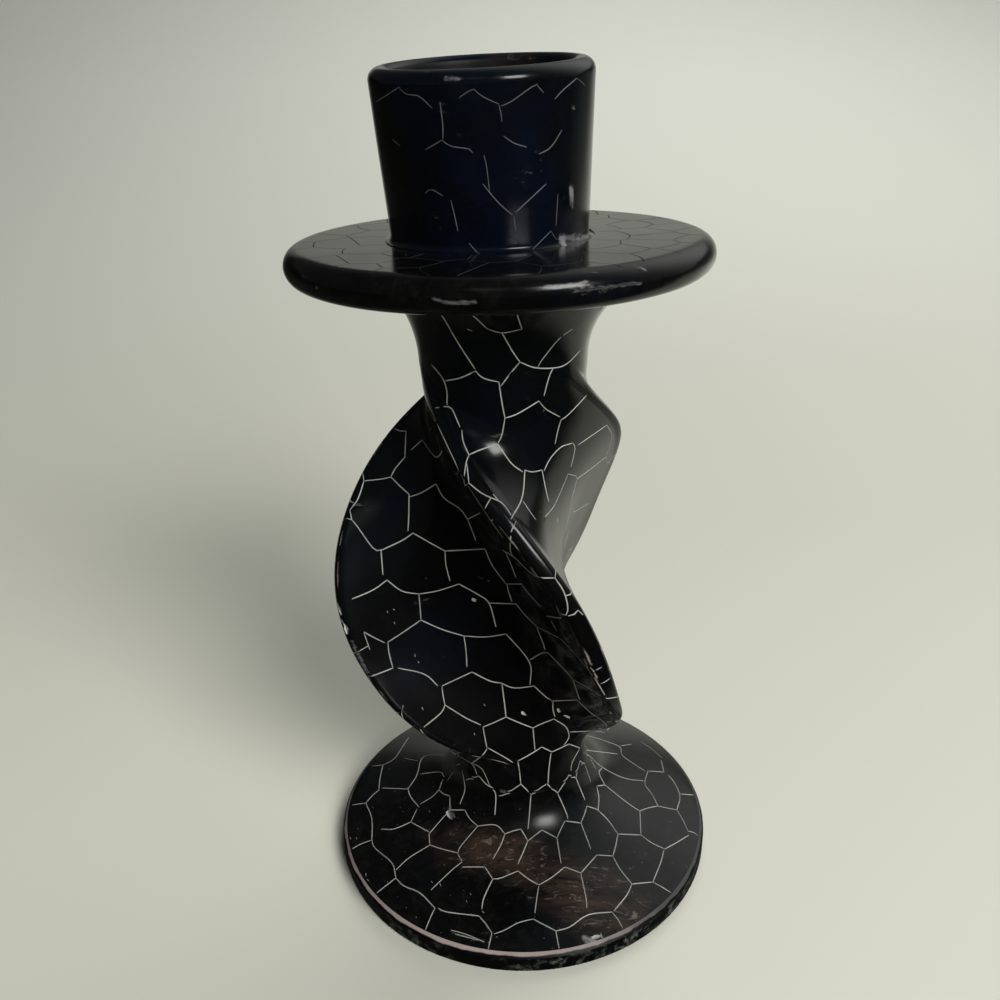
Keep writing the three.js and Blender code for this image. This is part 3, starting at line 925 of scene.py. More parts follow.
def heading(bearing, rise):
    """A direction from its bearing, clockwise from straight behind the object, and its rise."""
    level = math.cos(rise)
    return np.array((math.sin(bearing) * level, math.cos(bearing) * level, math.sin(rise)))


def camera_axes():
    """The directions to the right, up and forward in the camera's picture."""
    forward = heading(CAMERA_TURN, -CAMERA_DOWN)
    level = np.array((math.cos(CAMERA_TURN), -math.sin(CAMERA_TURN), 0.0))
    above = np.cross(level, forward)
    right = level * math.cos(CAMERA_ROLL) + above * math.sin(CAMERA_ROLL)
    up = above * math.cos(CAMERA_ROLL) - level * math.sin(CAMERA_ROLL)
    return right, up, forward


def pixel_rays(pixels):
    """Directions from the camera through places in the photograph's frame."""
    right, up, forward = camera_axes()
    aside = (pixels - FRAME_PIXELS / 2) / FOCAL_PIXELS
    return unit(aside[:, :1] * right - aside[:, 1:] * up + forward)


def smooth_line(numbers):
    """A smooth line through points given as x and y in turn, as places an even step apart."""
    points = np.array(numbers, dtype=float).reshape(-1, 2)
    ahead = 2 * points[-1:] - points[-2:-1]
    behind = 2 * points[:1] - points[1:2]
    full = np.concatenate((behind, points, ahead))
    share = np.linspace(0, 1, 8, endpoint=False)[:, None]
    stretches = []
    for a, b, c, d in zip(full, full[1:], full[2:], full[3:]):
        bend = (2 * a - 5 * b + 4 * c - d) * share**2 + (3 * b - a - 3 * c + d) * share**3
        stretches.append(b + ((c - a) * share + bend) / 2)
    return evenly(np.concatenate((*stretches, points[-1:])), TRACE_STEP)


class Sight:
    """What the photograph's camera sees of several skins."""

    def __init__(self, skins):
        self.skins = skins
        self.trees = {name: skin.tree() for name, skin in skins.items()}

    def first(self, way):
        """The nearest skin along a ray, with the place, its distance and a guess at its shares."""
        best = None
        for name, (tree, guesses) in self.trees.items():
            place, _, index, distance = tree.ray_cast(Vector(CAMERA_PLACE), Vector(way))
            if place is not None and (best is None or distance < best[2]):
                best = (name, np.array(place), distance, guesses[index])
        return best

    def facing(self, places, normals):
        """Which places face the camera enough for their lines to be read."""
        return -(unit(places - CAMERA_PLACE) * normals).sum(axis=1) > LEAST_FACING

    def sees(self, places, normals):
        """Which places the camera sees, leaving out those seen too much from the side."""
        ways = places - CAMERA_PLACE
        away = np.linalg.norm(ways, axis=1)
        facing = self.facing(places, normals)
        for i in np.flatnonzero(facing):
            hit = self.first(ways[i] / away[i])
            facing[i] = hit is None or hit[2] > away[i] - SIGHT_SLACK
        return facing

    def traced(self, numbers):
        """The runs of a line in the photograph on the skins, as (name, turn and along) pairs."""
        runs = []
        last = None
        for way in pixel_rays(smooth_line(numbers)):
            hit = self.first(way)
            if hit is not None:
                if last is None or np.linalg.norm(hit[1] - last[1]) >= TRACE_GAP:
                    runs.append([])
                elif hit[0] != last[0]:
                    runs[-1].append((last[0], hit[1], hit[2], last[3]))
                    runs.append([(hit[0], last[1], last[2], hit[3])])
                runs[-1].append(hit)
            last = hit
        found = []
        for run in runs:
            if len(run) > 1:
                names, places, _, guesses = zip(*run)
                skin = self.skins[names[0]]
                path = skin.find(np.array(places), np.array(guesses))
                found.extend((names[0], path[start:stop])
                             for start, stop in stretches_of(self.facing(*skin.on(path)))
                             if stop - start > 1)
        return found


# Cells: where the strokes run on a skin

# Places tried for each next centre, rounds that may find none, and the least room for a centre
# as a share of a cell
TRIES = 24
MOST_MISSES = 40
LEAST_ROOM = 0.86
# What is added to the distance of a centre that faces quite the other way
FAR_SIDE = 30 * MM
# Size of the squares in which the junctions are sought
NETWORK_STEP = 0.65 * MM


def scattered_centres(skin, cell, low, high, seed):
    """Cell centres spread evenly over a skin from low to high."""
    draw = random.Random(seed)
    centres = np.zeros((0, 2))
    misses = 0
    while misses < MOST_MISSES:
        turn = [draw.random() for _ in range(TRIES)]
        along = [draw.uniform(low, high) for _ in range(TRIES)]
        tries = np.column_stack((turn, along))
        room = side_distance(*skin.on(tries), *skin.on(centres)).min(axis=1, initial=np.inf)
        best = room.argmax()
        if room[best] < cell * LEAST_ROOM:
            misses += 1
        else:
            misses = 0
            centres = np.vstack((centres, tries[best]))
    return centres


def side_distance(points, directions, centres, ways):
    """Distances that count a centre on the far side of a fin as further away."""
    apart = np.linalg.norm(points[:, None] - centres[None], axis=2)
    facing = directions @ ways.T
    return apart + np.maximum(-facing, 0) * FAR_SIDE


def cell_network(skin, centres, low, high):
    """Junctions of the cells round some centres, and which of them each pair of cells shares."""
    columns = round(skin.girth / NETWORK_STEP)
    rows = round(skin.length * (high - low) / NETWORK_STEP)
    alongs = np.linspace(low, high, rows + 1)
    places = skin.on(centres)
    far = np.concatenate([
        side_distance(*skin.at(even_turns(columns), along), *places) for along in alongs
    ])
    owner = far.argmin(axis=1)
    quads = ring_quads(rows + 1, columns)
    junctions = []
    meeting = {}

    def meet(owners, place):
        for pair in combinations(owners, 2):
            meeting.setdefault(frozenset(pair), []).append(len(junctions))
        junctions.append(place)

    for number in np.flatnonzero([len(set(cells)) > 2 for cells in owner[quads].tolist()]):
        row, column = divmod(int(number), columns)
        spots = ((column, row), (column + 1, row), (column + 1, row + 1), (column, row + 1))
        for triangle in ([0, 1, 2], [0, 2, 3]):
            corners = quads[number][triangle]
            owners = owner[corners].tolist()
            if len(set(owners)) == 3:
                place = balance(far[corners][:, owners], [spots[i] for i in triangle])
                meet(owners, (place[0] / columns, low + (high - low) * place[1] / rows))
    for row in (0, rows):
        ring = owner[row * columns:(row + 1) * columns].tolist()
        for column, pair in enumerate(zip(ring, ring[1:] + ring[:1])):
            if pair[0] != pair[1]:
                meet(pair, ((column + 0.5) / columns, alongs[row]))
    return junctions, meeting


def balance(distances, corners):
    """The place in a triangle that is equally far from its three owners."""
    system = np.array([
        distances[:, 0] - distances[:, 1],
        distances[:, 0] - distances[:, 2],
        np.ones(3),
    ])
    try:
        weights = np.linalg.solve(system, np.array((0.0, 0.0, 1.0)))
    except np.linalg.LinAlgError:
        weights = np.full(3, 1 / 3)
    weights = np.clip(weights, 0, 1)
    return weights @ np.array(corners, dtype=float) / weights.sum()


# Strokes: the lines as the carver scratches them

STROKE_STEP = 0.9 * MM
SHORTEST_STROKE = 0.25 * MM
# The length over which a stroke widens at each end, and its width there as a share
TAPER = 0.8 * MM
TIP_SHARE = 0.6
# How far strokes and their sides stay away from a skin's borders
STROKE_MARGIN = 0.2 * MM
SIDE_MARGIN = 0.1 * MM
# How far past a stroke's border its cut is reckoned, and the shallowest share of it that counts
CUT_REACH = 0.4 * MM
CUT_LEAST = 0.02
# How much the widths of single strokes differ
DRAWN_WEIGHTS = (0.85, 1.1)
SCATTERED_WEIGHTS = (0.8, 1.1)


def strokes_on(skin, path, width):
    """A stroke along a path, as rows of turn, along and half width, or none if it is too short."""
    run = running(np.linalg.norm(np.diff(skin.on(path)[0], axis=0), axis=1))
    long = run[-1]
    if long < SHORTEST_STROKE:
        return []
    count = max(2, round(long / STROKE_STEP))
    wanted = np.linspace(0, long, count + 1)
    turn = np.interp(wanted, run, path[:, 0])
    along = np.interp(wanted, run, path[:, 1])
    taper = np.clip(np.minimum(wanted, long - wanted) / TAPER, 0, 1)
    border = STROKE_MARGIN / skin.length
    inside = (along > border) & (along < 1 - border)
    kept = inside.copy()
    kept[1:] |= inside[:-1]
    kept[:-1] |= inside[1:]
    along = np.clip(along, border, 1 - border)
    halves = width / 2 * (TIP_SHARE + (1 - TIP_SHARE) * taper)
    rows = np.column_stack((turn, along, halves))[kept]
    return [rows] if len(rows) >= 3 or (len(rows) == 2 and long < 2 * MM) else []


def drawn_strokes(sight, lines):
    """The strokes read from the photograph, as a list for each skin."""
    draw = random.Random(lines.seed)
    found = {name: [] for name in sight.skins}
    widths = (lines.width, lines.fine_width, lines.pit_width)
    for group, width in zip((BOLD_LINES, FINE_LINES, PITS), widths):
        for numbers in group:
            weight = draw.uniform(*DRAWN_WEIGHTS)
            for name, path in sight.traced(numbers):
                found[name].extend(strokes_on(sight.skins[name], path, width * weight))
    return found


def network_strokes(sight, name, drawn, width, cell, band, seed):
    """Strokes between scattered cells, everywhere or where the photograph doesn't show the skin."""
    lines = settings("lines")
    skin = sight.skins[name]
    low, high, skipped, everywhere = band
    centres = scattered_centres(skin, cell, low, high, seed)
    junctions, meeting = cell_network(skin, centres, low, high)
    shares = np.concatenate((np.zeros((0, 3)), *drawn))[:, :2]
    nearby = searchable(skin.on(shares)[0])

    def joint(end):
        """The nearest place on a line read from the photograph, or none if it is out of reach."""
        _, index, gap = nearby.find(skin.on(end)[0][0])
        if index is None or gap > lines.reach:
            return end[:0]
        goal = shares[index:index + 1].copy()
        goal[0, 0] += round(end[0, 0] - goal[0, 0])
        return goal

    draw = random.Random(seed)
    strokes = []
    for pair in sorted(meeting, key=sorted):
        ends = meeting[pair]
        bow = draw.uniform(-lines.bow, lines.bow)
        weight = draw.uniform(*SCATTERED_WEIGHTS)
        if len(ends) != 2 or draw.random() < skipped:
            continue
        path = bowed(skin, junctions[ends[0]], junctions[ends[1]], bow)
        for start, stop in stretches_of(~sight.sees(*skin.on(path)) | everywhere):
            run = path[start:stop]
            if stop < len(path):
                run = np.vstack((run, joint(run[-1:])))
            if start > 0:
                run = np.vstack((joint(run[:1]), run))
            if len(run) >= 3:
                strokes.extend(strokes_on(skin, run, width * weight))
    return strokes


def bowed(skin, start, end, bow):
    """A slightly bowed path from one place on a skin to another."""
    step = np.subtract(end, start)
    step[0] -= round(step[0])
    share = np.linspace(0, 1, 19)[:, None]
    side = np.array((-step[1] * skin.length / skin.girth, step[0] * skin.girth / skin.length))
    path = start + share * step + np.sin(share * math.pi) * bow * side
    return np.column_stack((path[:, 0], np.clip(path[:, 1], 0, 1)))


def stretches_of(wanted):
    """Starts and stops of the stretches where a mask is true."""
    steps = np.diff(np.concatenate(([0], wanted.astype(int), [0])))
    return list(zip(np.flatnonzero(steps == 1), np.flatnonzero(steps == -1)))


def solved_step(around, up, gap):
    """Least squares for the step in a skin's own shares that crosses a gap."""
    aa = (around * around).sum(1)
    ab = (around * up).sum(1)
    bb = (up * up).sum(1)
    one = (around * gap).sum(1)
    two = (up * gap).sum(1)
    size = np.maximum(aa * bb - ab * ab, 1e-18)
    return np.stack(((bb * one - ab * two) / size, (aa * two - ab * one) / size), axis=1)


def ribbon(skin, stroke):
    """A stroke's two borders on the skin, in shares of a turn and of the way along."""
    around, up = skin.slopes(stroke)
    run = np.gradient(stroke[:, :2], axis=0)
    forward = unit(around * run[:, :1] + up * run[:, 1:])
    steps = solved_step(around, up, np.cross(skin.on(stroke)[1], forward) * stroke[:, 2:])
    border = SIDE_MARGIN / skin.length
    sides = (stroke[:, :2] + steps, stroke[:, :2] - steps)
    for side in sides:
        side[:, 1] = np.clip(side[:, 1], border, 1 - border)
    return sides


class Grooves:
    """Finds how deep the strokes cut at a place."""

    def __init__(self, skin, strokes, depth, width):
        self.depth = depth
        self.width = width
        self.links = []
        fine = []
        for stroke in strokes:
            known = np.arange(len(stroke))
            share = np.linspace(0, len(stroke) - 1, (len(stroke) - 1) * 3 + 1)
            fine.append(np.stack([np.interp(share, known, column) for column in stroke.T], axis=1))
            first = len(self.links)
            last = first + len(share) - 1
            self.links.extend((max(i - 1, first), min(i + 1, last)) for i in range(first, last + 1))
        rows = np.concatenate(fine)
        self.points = skin.on(rows)[0]
        self.halves = rows[:, 2]
        self.tree = searchable(self.points)

    def at(self, places):
        """Depth of the cut at each place, zero outside the strokes."""
        depths = np.zeros(len(places))
        for i, place in enumerate(places):
            for _, index, gap in self.tree.find_n(place, 3):
                half = self.halves[index]
                if gap > half + CUT_REACH:
                    break
                nearest = min(
                    distance_to_segment(place, self.points[index], self.points[link])
                    for link in self.links[index]
                )
                share = 1 - nearest / half
                if share > CUT_LEAST:
                    depths[i] = max(depths[i], share * self.depth * half * 2 / self.width)
        return depths


def distance_to_segment(place, start, end):
    run = end - start
    share = min(max((place - start) @ run / max(run @ run, 1e-18), 0.0), 1.0)
    return np.linalg.norm(place - start - run * share)


# Layouts: each piece's skin, the strokes cut into it, its scuffs and painted highlights, and its brown
# patches

LAYOUTS = {}

# Where on each skin the scattered cells are, as shares of the way along it, how many strokes are
# skipped, and whether they show on the photographed side too
CELL_BANDS = {
    "foot": ((0.04, 1.0, 0.03, False),),
    "stem": ((0.0, 1.0, 0.03, False),),
    "pan": ((0.03, 0.27, 0.1, False), (0.53, 0.98, 0.06, True)),
    "cup": ((0.05, 0.47, 0.25, False),),
}


def lay_out():
    """Makes the skins, and finds where lines and marks run on them."""
    foot, stem, pan, cup, lines = map(settings, ("foot", "stem", "pan", "cup", "lines"))
    skins = {
        "foot": foot_skin(foot),
        "stem": stem_skin(stem),
        "pan": pan_skin(pan, stem, cup),
        "cup": cup_skin(cup, pan.seat),
    }
    sight = Sight(skins)
    drawn = drawn_strokes(sight, lines)
    for number, (name, skin) in enumerate(skins.items()):
        strokes = list(drawn[name])
        width = {"pan": lines.pan_width, "cup": lines.fine_width}.get(name, lines.width)
        cell = lines.pan_cell if name == "pan" else lines.cell
        for band in CELL_BANDS[name]:
            strokes.extend(network_strokes(
                sight, name, drawn[name], width, cell, band, lines.seed + number
            ))
        LAYOUTS[name] = SimpleNamespace(skin=skin, strokes=strokes, scuffs=[], browns=[])
    for group, kind in ((SCUFFS_AND_HIGHLIGHTS, "scuffs"), (BROWN_PATCHES, "browns")):
        for reach, strength, *numbers in group:
            for name, path in sight.traced(numbers):
                places = skins[name].on(path)[0]
                getattr(LAYOUTS[name], kind).append((places, reach * MM, strength))


# Meshes: parts of a piece, welded with their own normals kept

# Masks on a piece's points: thin edges, scuffs together with painted highlights, and brown veins
MASKS = ("edge", "scuff_and_highlight", "brown")
# Longest step between two rings in a pin hole
HOLE_STEP = 3 * MM
# Points that are closer together than about this become one
WELD = 2e-3 * MM
# How far to each side an edge's bulge is measured, the radius of a worn one, and where wear starts
EDGE_REACH = 0.7 * MM
EDGE_RADIUS = 1.2 * MM
EDGE_FROM = 0.15

# The node that each piece of stone stands in for
NODES = {"foot": "foot", "stem": "twisted_stem", "pan": "drip_pan", "cup": "candle_cup"}


class Piece:
    """Faces, their corner normals and their finish, collected and then welded into one mesh."""

    def __init__(self, key):
        self.key = key
        self.parts = []

    def add(self, points, normals, faces, finishes, masks=None):
        """Points, a normal for each face corner, faces, a finish for each face, point masks."""
        if masks is None:
            masks = np.zeros((len(points), len(MASKS)))
        before = sum(len(part[0]) for part in self.parts)
        self.parts.append((points, normals, faces + before, finishes, masks))

    def add_rings(self, points, finish=0):
        """A plain stretch between rings of points, with smooth normals of its own."""
        quads = ring_quads(*points.shape[:2])
        faces = np.concatenate((quads[:, :3], quads[:, (0, 2, 3)]))
        normals = outward(points).reshape(-1, 3)
        self.add(points.reshape(-1, 3), normals[faces], faces, np.full(len(faces), finish))

    def add_cap(self, ring, upwards):
        """A flat lid on one ring of points."""
        count = len(ring)
        here = np.arange(count)
        beside = (here + 1) % count
        rim = (here, beside) if upwards else (beside, here)
        faces = np.column_stack((*rim, np.full(count, count)))
        normals = np.broadcast_to(UPWARD if upwards else -UPWARD, (count, 3, 3))
        self.add(np.vstack((ring, ring.mean(axis=0))), normals, faces, np.zeros(count, int))

    def add_pin_hole(self, ring, x, depth):
        """From a level ring on an end to its pin hole, and down or up to the hole's end."""
        middle = np.array((x, 0.0, ring[0, 2]))
        mouth = middle + unit(ring - middle) * settings("holes").radius
        end = mouth - np.array((0.0, 0.0, depth))
        order = 1 if depth > 0 else -1
        for start, stop in ((ring, mouth), (mouth, end)):
            self.add_rings(between_rings(start, stop, HOLE_STEP)[::order])
        self.add_cap(end, upwards=depth > 0)

    def add_carved(self, turns, alongs, dull_from=1.0):
        """The skin with V-shaped strokes cut into it, and its first and its last ring."""
        lines = settings("lines")
        layout = LAYOUTS[self.key]
        skin = layout.skin
        flat, faces = stroke_mesh(skin, layout.strokes, turns, alongs)
        places, normals = skin.on(flat)
        grooves = Grooves(skin, layout.strokes, lines.depth, lines.width)
        from_border = np.minimum(flat[:, 1], 1 - flat[:, 1]) * skin.length
        cut = grooves.at(places) * np.clip(from_border / FINE, 0, 1)
        in_groove = grooves.at(places[faces].mean(axis=1)) > 0
        points = places - normals * cut[:, None]
        corner_normals = normals[faces]
        start, one, two = points[faces[in_groove]].transpose(1, 0, 2)
        corner_normals[in_groove] = unit(np.cross(one - start, two - start))[:, None]
        masks = (
            convexity(skin, flat),
            nearness(places, layout.scuffs),
            nearness(places, layout.browns),
        )
        dull = (flat[faces, 1].mean(axis=1) > dull_from) & ~in_groove
        self.add(points, corner_normals, faces, in_groove + 2 * dull, np.stack(masks, axis=1))
        return [skin.at(turns, end)[0] for end in (0.0, 1.0)]

    def stand_in(self, *others):
        """The welded piece, in place of its node, with any other materials besides its stone."""
        node = NODES[self.key]
        name = node + "_carved"
        points, normals, faces, finishes, masks = map(np.concatenate, zip(*self.parts))
        keys = np.round(points / WELD).astype(np.int64)
        _, first, same = np.unique(keys, axis=0, return_index=True, return_inverse=True)
        faces = same.reshape(-1)[faces]
        whole = (faces != np.roll(faces, 1, 1)).all(axis=1)
        mesh = bpy.data.meshes.new(name)
        mesh.from_pydata(points[first].tolist(), [], faces[whole].tolist())
        mesh.polygons.foreach_set("material_index", finishes[whole].astype(np.int32))
        mesh.polygons.foreach_set("use_smooth", np.ones(int(whole.sum()), dtype=bool))
        for column, label in enumerate(MASKS):
            mask = mesh.attributes.new(label, "FLOAT", "POINT")
            mask.data.foreach_set("value", masks[first, column].astype(np.float32))
        mesh.normals_split_custom_set(normals[whole].reshape(-1, 3).tolist())
        for material in (polished_stone(self.key), bare_stone(self.key), *others):
            mesh.materials.append(material)
        piece = shown(name, mesh)
        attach(piece, BODY)
        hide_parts(node)


def stroke_mesh(skin, strokes, turns, alongs):
    """Triangles over the whole skin in shares of a turn and of the way along."""
    stretch = np.array((skin.girth, skin.length)) / MM
    points = []
    edges = []

    def scatter(path):
        points.extend(Vector(p) for p in (path * stretch).tolist())

    def chain(path, closed=False):
        start = len(points)
        scatter(path)
        edges.extend((i, i + 1) for i in range(start, len(points) - 1))
        if closed:
            edges.append((len(points) - 1, start))

    for along in alongs:
        ring = np.column_stack((np.append(turns, 1.0), np.full(len(turns) + 1, along)))
        if along in alongs[[0, -1]]:
            chain(ring)
        else:
            scatter(ring)
    for turn in (0.0, 1.0):
        chain(np.column_stack((np.full(len(alongs), turn), alongs)))
    for stroke in strokes:
        left, right = ribbon(skin, stroke)
        outline = np.concatenate((left, right[::-1]))
        for shift in (-1.0, 0.0, 1.0):
            moved = outline + (shift, 0.0)
            if moved[:, 0].max() >= 0 and moved[:, 0].min() <= 1:
                chain(moved, closed=True)
                chain(stroke[:, :2] + (shift, 0.0))
    result = delaunay_2d_cdt(points, edges, [], 0, 1e-4)
    flat = np.array([tuple(v) for v in result[0]]) / stretch
    faces = np.array(result[2])
    middle = flat[faces, 0].mean(axis=1)
    faces = faces[(middle > 0) & (middle < 1)]
    start, one, two = flat[faces].transpose(1, 2, 0)
    one = one - start
    two = two - start
    turned_over = one[0] * two[1] - one[1] * two[0] < 0
    faces[turned_over] = faces[turned_over][:, ::-1]
    return flat, seam_closed(flat, faces)


def seam_closed(flat, faces):
    """Faces that use the points at the start of the turn in place of those at its end."""
    start = np.flatnonzero(np.abs(flat[:, 0]) < 1e-6)
    end = np.flatnonzero(np.abs(flat[:, 0] - 1) < 1e-6)
    index = np.arange(len(flat))
    gaps = np.abs(flat[end, 1][:, None] - flat[start, 1][None])
    index[end] = start[gaps.argmin(axis=1)]
    return index[faces]


def nearness(places, patches):
    """How near each place is to patches given as points with their reach and strength."""
    found = np.zeros(len(places))
    for points, reach, strength in patches:
        tree = searchable(points)
        middle = points.mean(axis=0)
        far = np.linalg.norm(points - middle, axis=1).max() + reach
        for i in np.flatnonzero(np.linalg.norm(places - middle, axis=1) < far):
            share = 1 - tree.find(places[i])[2] / reach
            if share > 0:
                found[i] = max(found[i], strength * share * share * (3 - 2 * share))
    return found


def convexity(skin, path):
    """How sharply the skin bulges at a place, from 0 on flats and hollows to 1 on a thin edge."""
    bulge = np.zeros(len(path))
    for step in ((EDGE_REACH / skin.girth, 0.0), (0.0, EDGE_REACH / skin.length)):
        places, normals = skin.on(path + step)
        back_places, back_normals = skin.on(path - step)
        run = places - back_places
        bend = (run * (normals - back_normals)).sum(1)
        bulge = np.maximum(bulge, bend / np.maximum((run * run).sum(1), 1e-12))
    return np.clip(bulge * EDGE_RADIUS - EDGE_FROM, 0, 1)


def ring_shares(key, longest, bend):
    """Where rings are needed along a skin: close together where it bends, far apart elsewhere."""
    skin = LAYOUTS[key].skin
    middle = skin.points.shape[1] // 2
    gaps = np.linalg.norm(np.diff(skin.points[:, middle], axis=0), axis=1)
    turns = np.diff(skin.normals[:, middle], axis=0)
    run = running(gaps / longest + np.linalg.norm(turns, axis=1) / bend)
    count = max(2, math.ceil(run[-1]))
    return np.interp(np.linspace(0, run[-1], count + 1), run, np.linspace(0, 1, len(run)))


# Materials

def new_material(name):
    """A material with its shader, and the wire of an object's own coordinates."""
    material = bpy.data.materials.new(name)
    material.use_nodes = True
    tree = material.node_tree
    tree.nodes.clear()
    shader = tree.nodes.new("ShaderNodeBsdfPrincipled")
    add_node(tree, "ShaderNodeOutputMaterial", Surface=Wire(shader.outputs["BSDF"]))
    return material, shader, object_place(tree)


def object_place(tree):
    return output_of(tree, "ShaderNodeTexCoord", "Object")


def noise(place, scale, detail, **more):
    return output_of(place.tree, "ShaderNodeTexNoise", "Fac", Vector=place, Scale=scale,
                     Detail=detail, **more)


def stretched(place, scale, rotation=(0, 0, 0)):
    return output_of(place.tree, "ShaderNodeMapping", 0, Vector=place, Rotation=rotation,
                     Scale=scale)


def masked(tree, name):
    """One of the masks on the mesh."""
    return output_of(tree, "ShaderNodeAttribute", "Fac", {"attribute_name": name})


def mixed(share, first, second):
    """Mixes two colours, given as values or wires."""
    node = add_node(share.tree, "ShaderNodeMix", {"data_type": "RGBA"})
    connect(node.inputs[0], share)
    for socket, value in zip(node.inputs[6:8], (first, second)):
        connect(socket, value if isinstance(value, Wire) else (*value, 1.0))
    return Wire(node.outputs[2])


def bumped(height, strength, distance):
    return output_of(height.tree, "ShaderNodeBump", "Normal", Strength=strength,
                     Distance=distance, Height=height)


def use_group(place, maker, **inputs):
    """What comes out of a group, which is made when it is first used."""
    name = maker.__name__.replace("_", " ").capitalize()
    group = bpy.data.node_groups.get(name) or maker(name)
    node = add_node(place.tree, "ShaderNodeGroup", {"node_tree": group}, **inputs)
    return map(Wire, node.outputs)


def dye_clouds(name):
    """How strongly the painted bluish and teal reflections show at a place."""
    tree, enter = new_tree("ShaderNodeTree", name, {"Blue": 0.5, "Green": 0.5})
    place = object_place(tree)
    cloud = noise(place, 38, 4, Roughness=0.6).ranged(0.49, 0.72)
    drift = noise(place, 21, 3, Distortion=0.6).ranged(0.49, 0.72)
    return closed_tree(tree, "Float", Blue=cloud * enter["Blue"], Green=drift * enter["Green"])


def scratches(name):
    """Hairlines, rubbed spots, and scuffs with painted highlights and reflections, from noise and from the
    mask that carries both.
    """
    tree, enter = new_tree("ShaderNodeTree", name, {"Scale": 60.0, "Amount": 0.5})
    place = object_place(tree)
    turned = stretched(place, (1, 9, 9), (0.4, 0.9, 0.3))
    hair = noise(turned, enter["Scale"], 3, Roughness=0.55).ranged(0.66, 0.7)
    thin = hair * noise(place, 210, 4).ranged(0.55, 0.7)
    smear = noise(place, 42, 5, Roughness=0.62)
    speckle = noise(stretched(place, (0.45, 0.45, 1)), 1900, 4, Roughness=0.75)
    scuff_and_highlight = masked(tree, "scuff_and_highlight")
    return closed_tree(
        tree, "Float", Scratches=thin * enter["Amount"], Rubbed=smear.ranged(0.35, 0.75),
        Scuffs=(speckle * 1.1 + scuff_and_highlight).ranged(1.16, 1.55) * scuff_and_highlight,
    )


def edge_wear(name):
    """Worn places on thin edges, from the edge mask."""
    tree, enter = new_tree("ShaderNodeTree", name, {"Amount": 0.5, "Scale": 180.0})
    place = object_place(tree)
    grain = noise(place, enter["Scale"], 6, Roughness=0.7)
    strong = grain * noise(place, 75, 2) * masked(tree, "edge") * enter["Amount"]
    return closed_tree(tree, "Float", Worn=strong.ranged(0.15, 0.19))


def brown_vein(name):
    """Marbled brown and paler wisps where the brown mask lies."""
    tree, enter = new_tree("ShaderNodeTree", name, {"Amount": 1.0})
    place = stretched(object_place(tree), (0.55, 1.5, 1), (0, 0, 0.45))
    marble = noise(place, 190, 7, Roughness=0.7, Distortion=1.2).ranged(0.34, 0.62)
    wisp = noise(place, 330, 6, Roughness=0.7, Distortion=2.0).ranged(0.56, 0.68)
    strong = masked(tree, "brown") * enter["Amount"]
    return closed_tree(tree, "Float", Vein=marble * strong, Wisps=wisp * strong)


# How much of the painted blue and teal reflections, mottling, hairlines and wear each polished stone has,
# and its roughness
POLISHED = {
    "foot": (0.15, 0.25, 0.55, 0.8, 0.5, 0.22),
    "stem": (0.35, 0.3, 0.12, 0.5, 0.7, 0.15),
    "pan": (0.5, 0.35, 0.5, 0.9, 0.6, 0.16),
    "cup": (0.9, 0.9, 0.15, 0.6, 0.4, 0.15),
    "socket": (0.2, 0.5, 0.4, 0.9, 0.4, 0.5),
}

# The tone of the stone in each piece's lines, how bright it is and how much dye is left in it
BARE = {
    "foot": ("bare", 1.0, 0.5),
    "stem": ("bare", 1.0, 0.35),
    # The pan's lines are much darker than those of the other pieces
    "pan": ("dim", 0.18, 0.5),
    "cup": ("dim", 1.0, 0.4),
}


def polished_stone(key):
    """Black-dyed soapstone, waxed: dark, glossy, with faint tints that paint in bluish and teal
    reflections, scuffs that also paint in highlights, and wear.
    """
    blue, green, mottling, hairlines, wear, roughness = POLISHED[key]
    finish = settings("finish")
    material, shader, place = new_material(key + "_stone")
    # Clouds of painted bluish and teal reflection
    blueness, greenness = use_group(place, dye_clouds, Blue=blue, Green=green)
    # The scuffs here also paint in highlights and reflections at the places listed with them
    scratch, rubbed, scuffs = use_group(place, scratches, Scale=90.0, Amount=hairlines)
    worn, = use_group(place, edge_wear, Amount=wear, Scale=190.0)
    vein, wisps = use_group(place, brown_vein, Amount=1.0)
    mottle = noise(place, 330, 6, Roughness=0.75, Distortion=0.8).ranged(0.48, 0.7)
    base = finish.dye
    for share, tone in (
        (blueness, finish.blue), (greenness, finish.green), (mottle * mottling, finish.mottle),
        (vein, finish.brown), (wisps * 0.45, finish.worn), (scratch * 0.25, finish.bare),
        (scuffs, finish.scuffed), (worn, finish.worn),
    ):
        base = mixed(share, base, tone)
    smooth = rubbed.ranged(0.0, 1.0, roughness, roughness + 0.06)
    height = noise(place, 260, 3) + scratch * -0.8
    feed(shader, Base_Color=base, Roughness=smooth.at_least(worn.at_least(scuffs) * 0.6),
         Coat_Weight=0.7, Coat_Roughness=roughness, Normal=bumped(height, 0.06, 0.4 * MM))
    return material


def bare_stone(key):
    """Bare stone in the cut lines, with grains of dye left in it."""
    kind, bright, dirt = BARE[key]
    tone = Vector(getattr(settings("finish"), kind)) * bright
    material, shader, place = new_material(key + "_lines")
    grain = noise(place, 420, 4)
    fade = noise(place, 70, 2)
    dark = tuple(channel * 0.35 for channel in tone)
    base = mixed(grain.ranged(0.45, 0.8) * dirt, tone, dark)
    base = mixed(fade.ranged(0.5, 0.75) * dirt, base, dark)
    feed(shader, Base_Color=base, Roughness=0.85, Specular_IOR_Level=0.3,
         Normal=bumped(grain, 0.4, 0.05 * MM))
    return material


# The way that the most worn part of the foot's bevel faces
BEVEL_WORN_TOWARDS = (-0.6, -0.8, 0.0)

# Tones that only one material has
BEVEL_GREY = (0.05, 0.05, 0.05)
WALL_GREY = (0.10, 0.115, 0.095)
STEEL_DARK = (0.5, 0.5, 0.51)
STEEL_BRIGHT = (0.68, 0.68, 0.69)
GRAIN_GREY = (0.07, 0.07, 0.072)


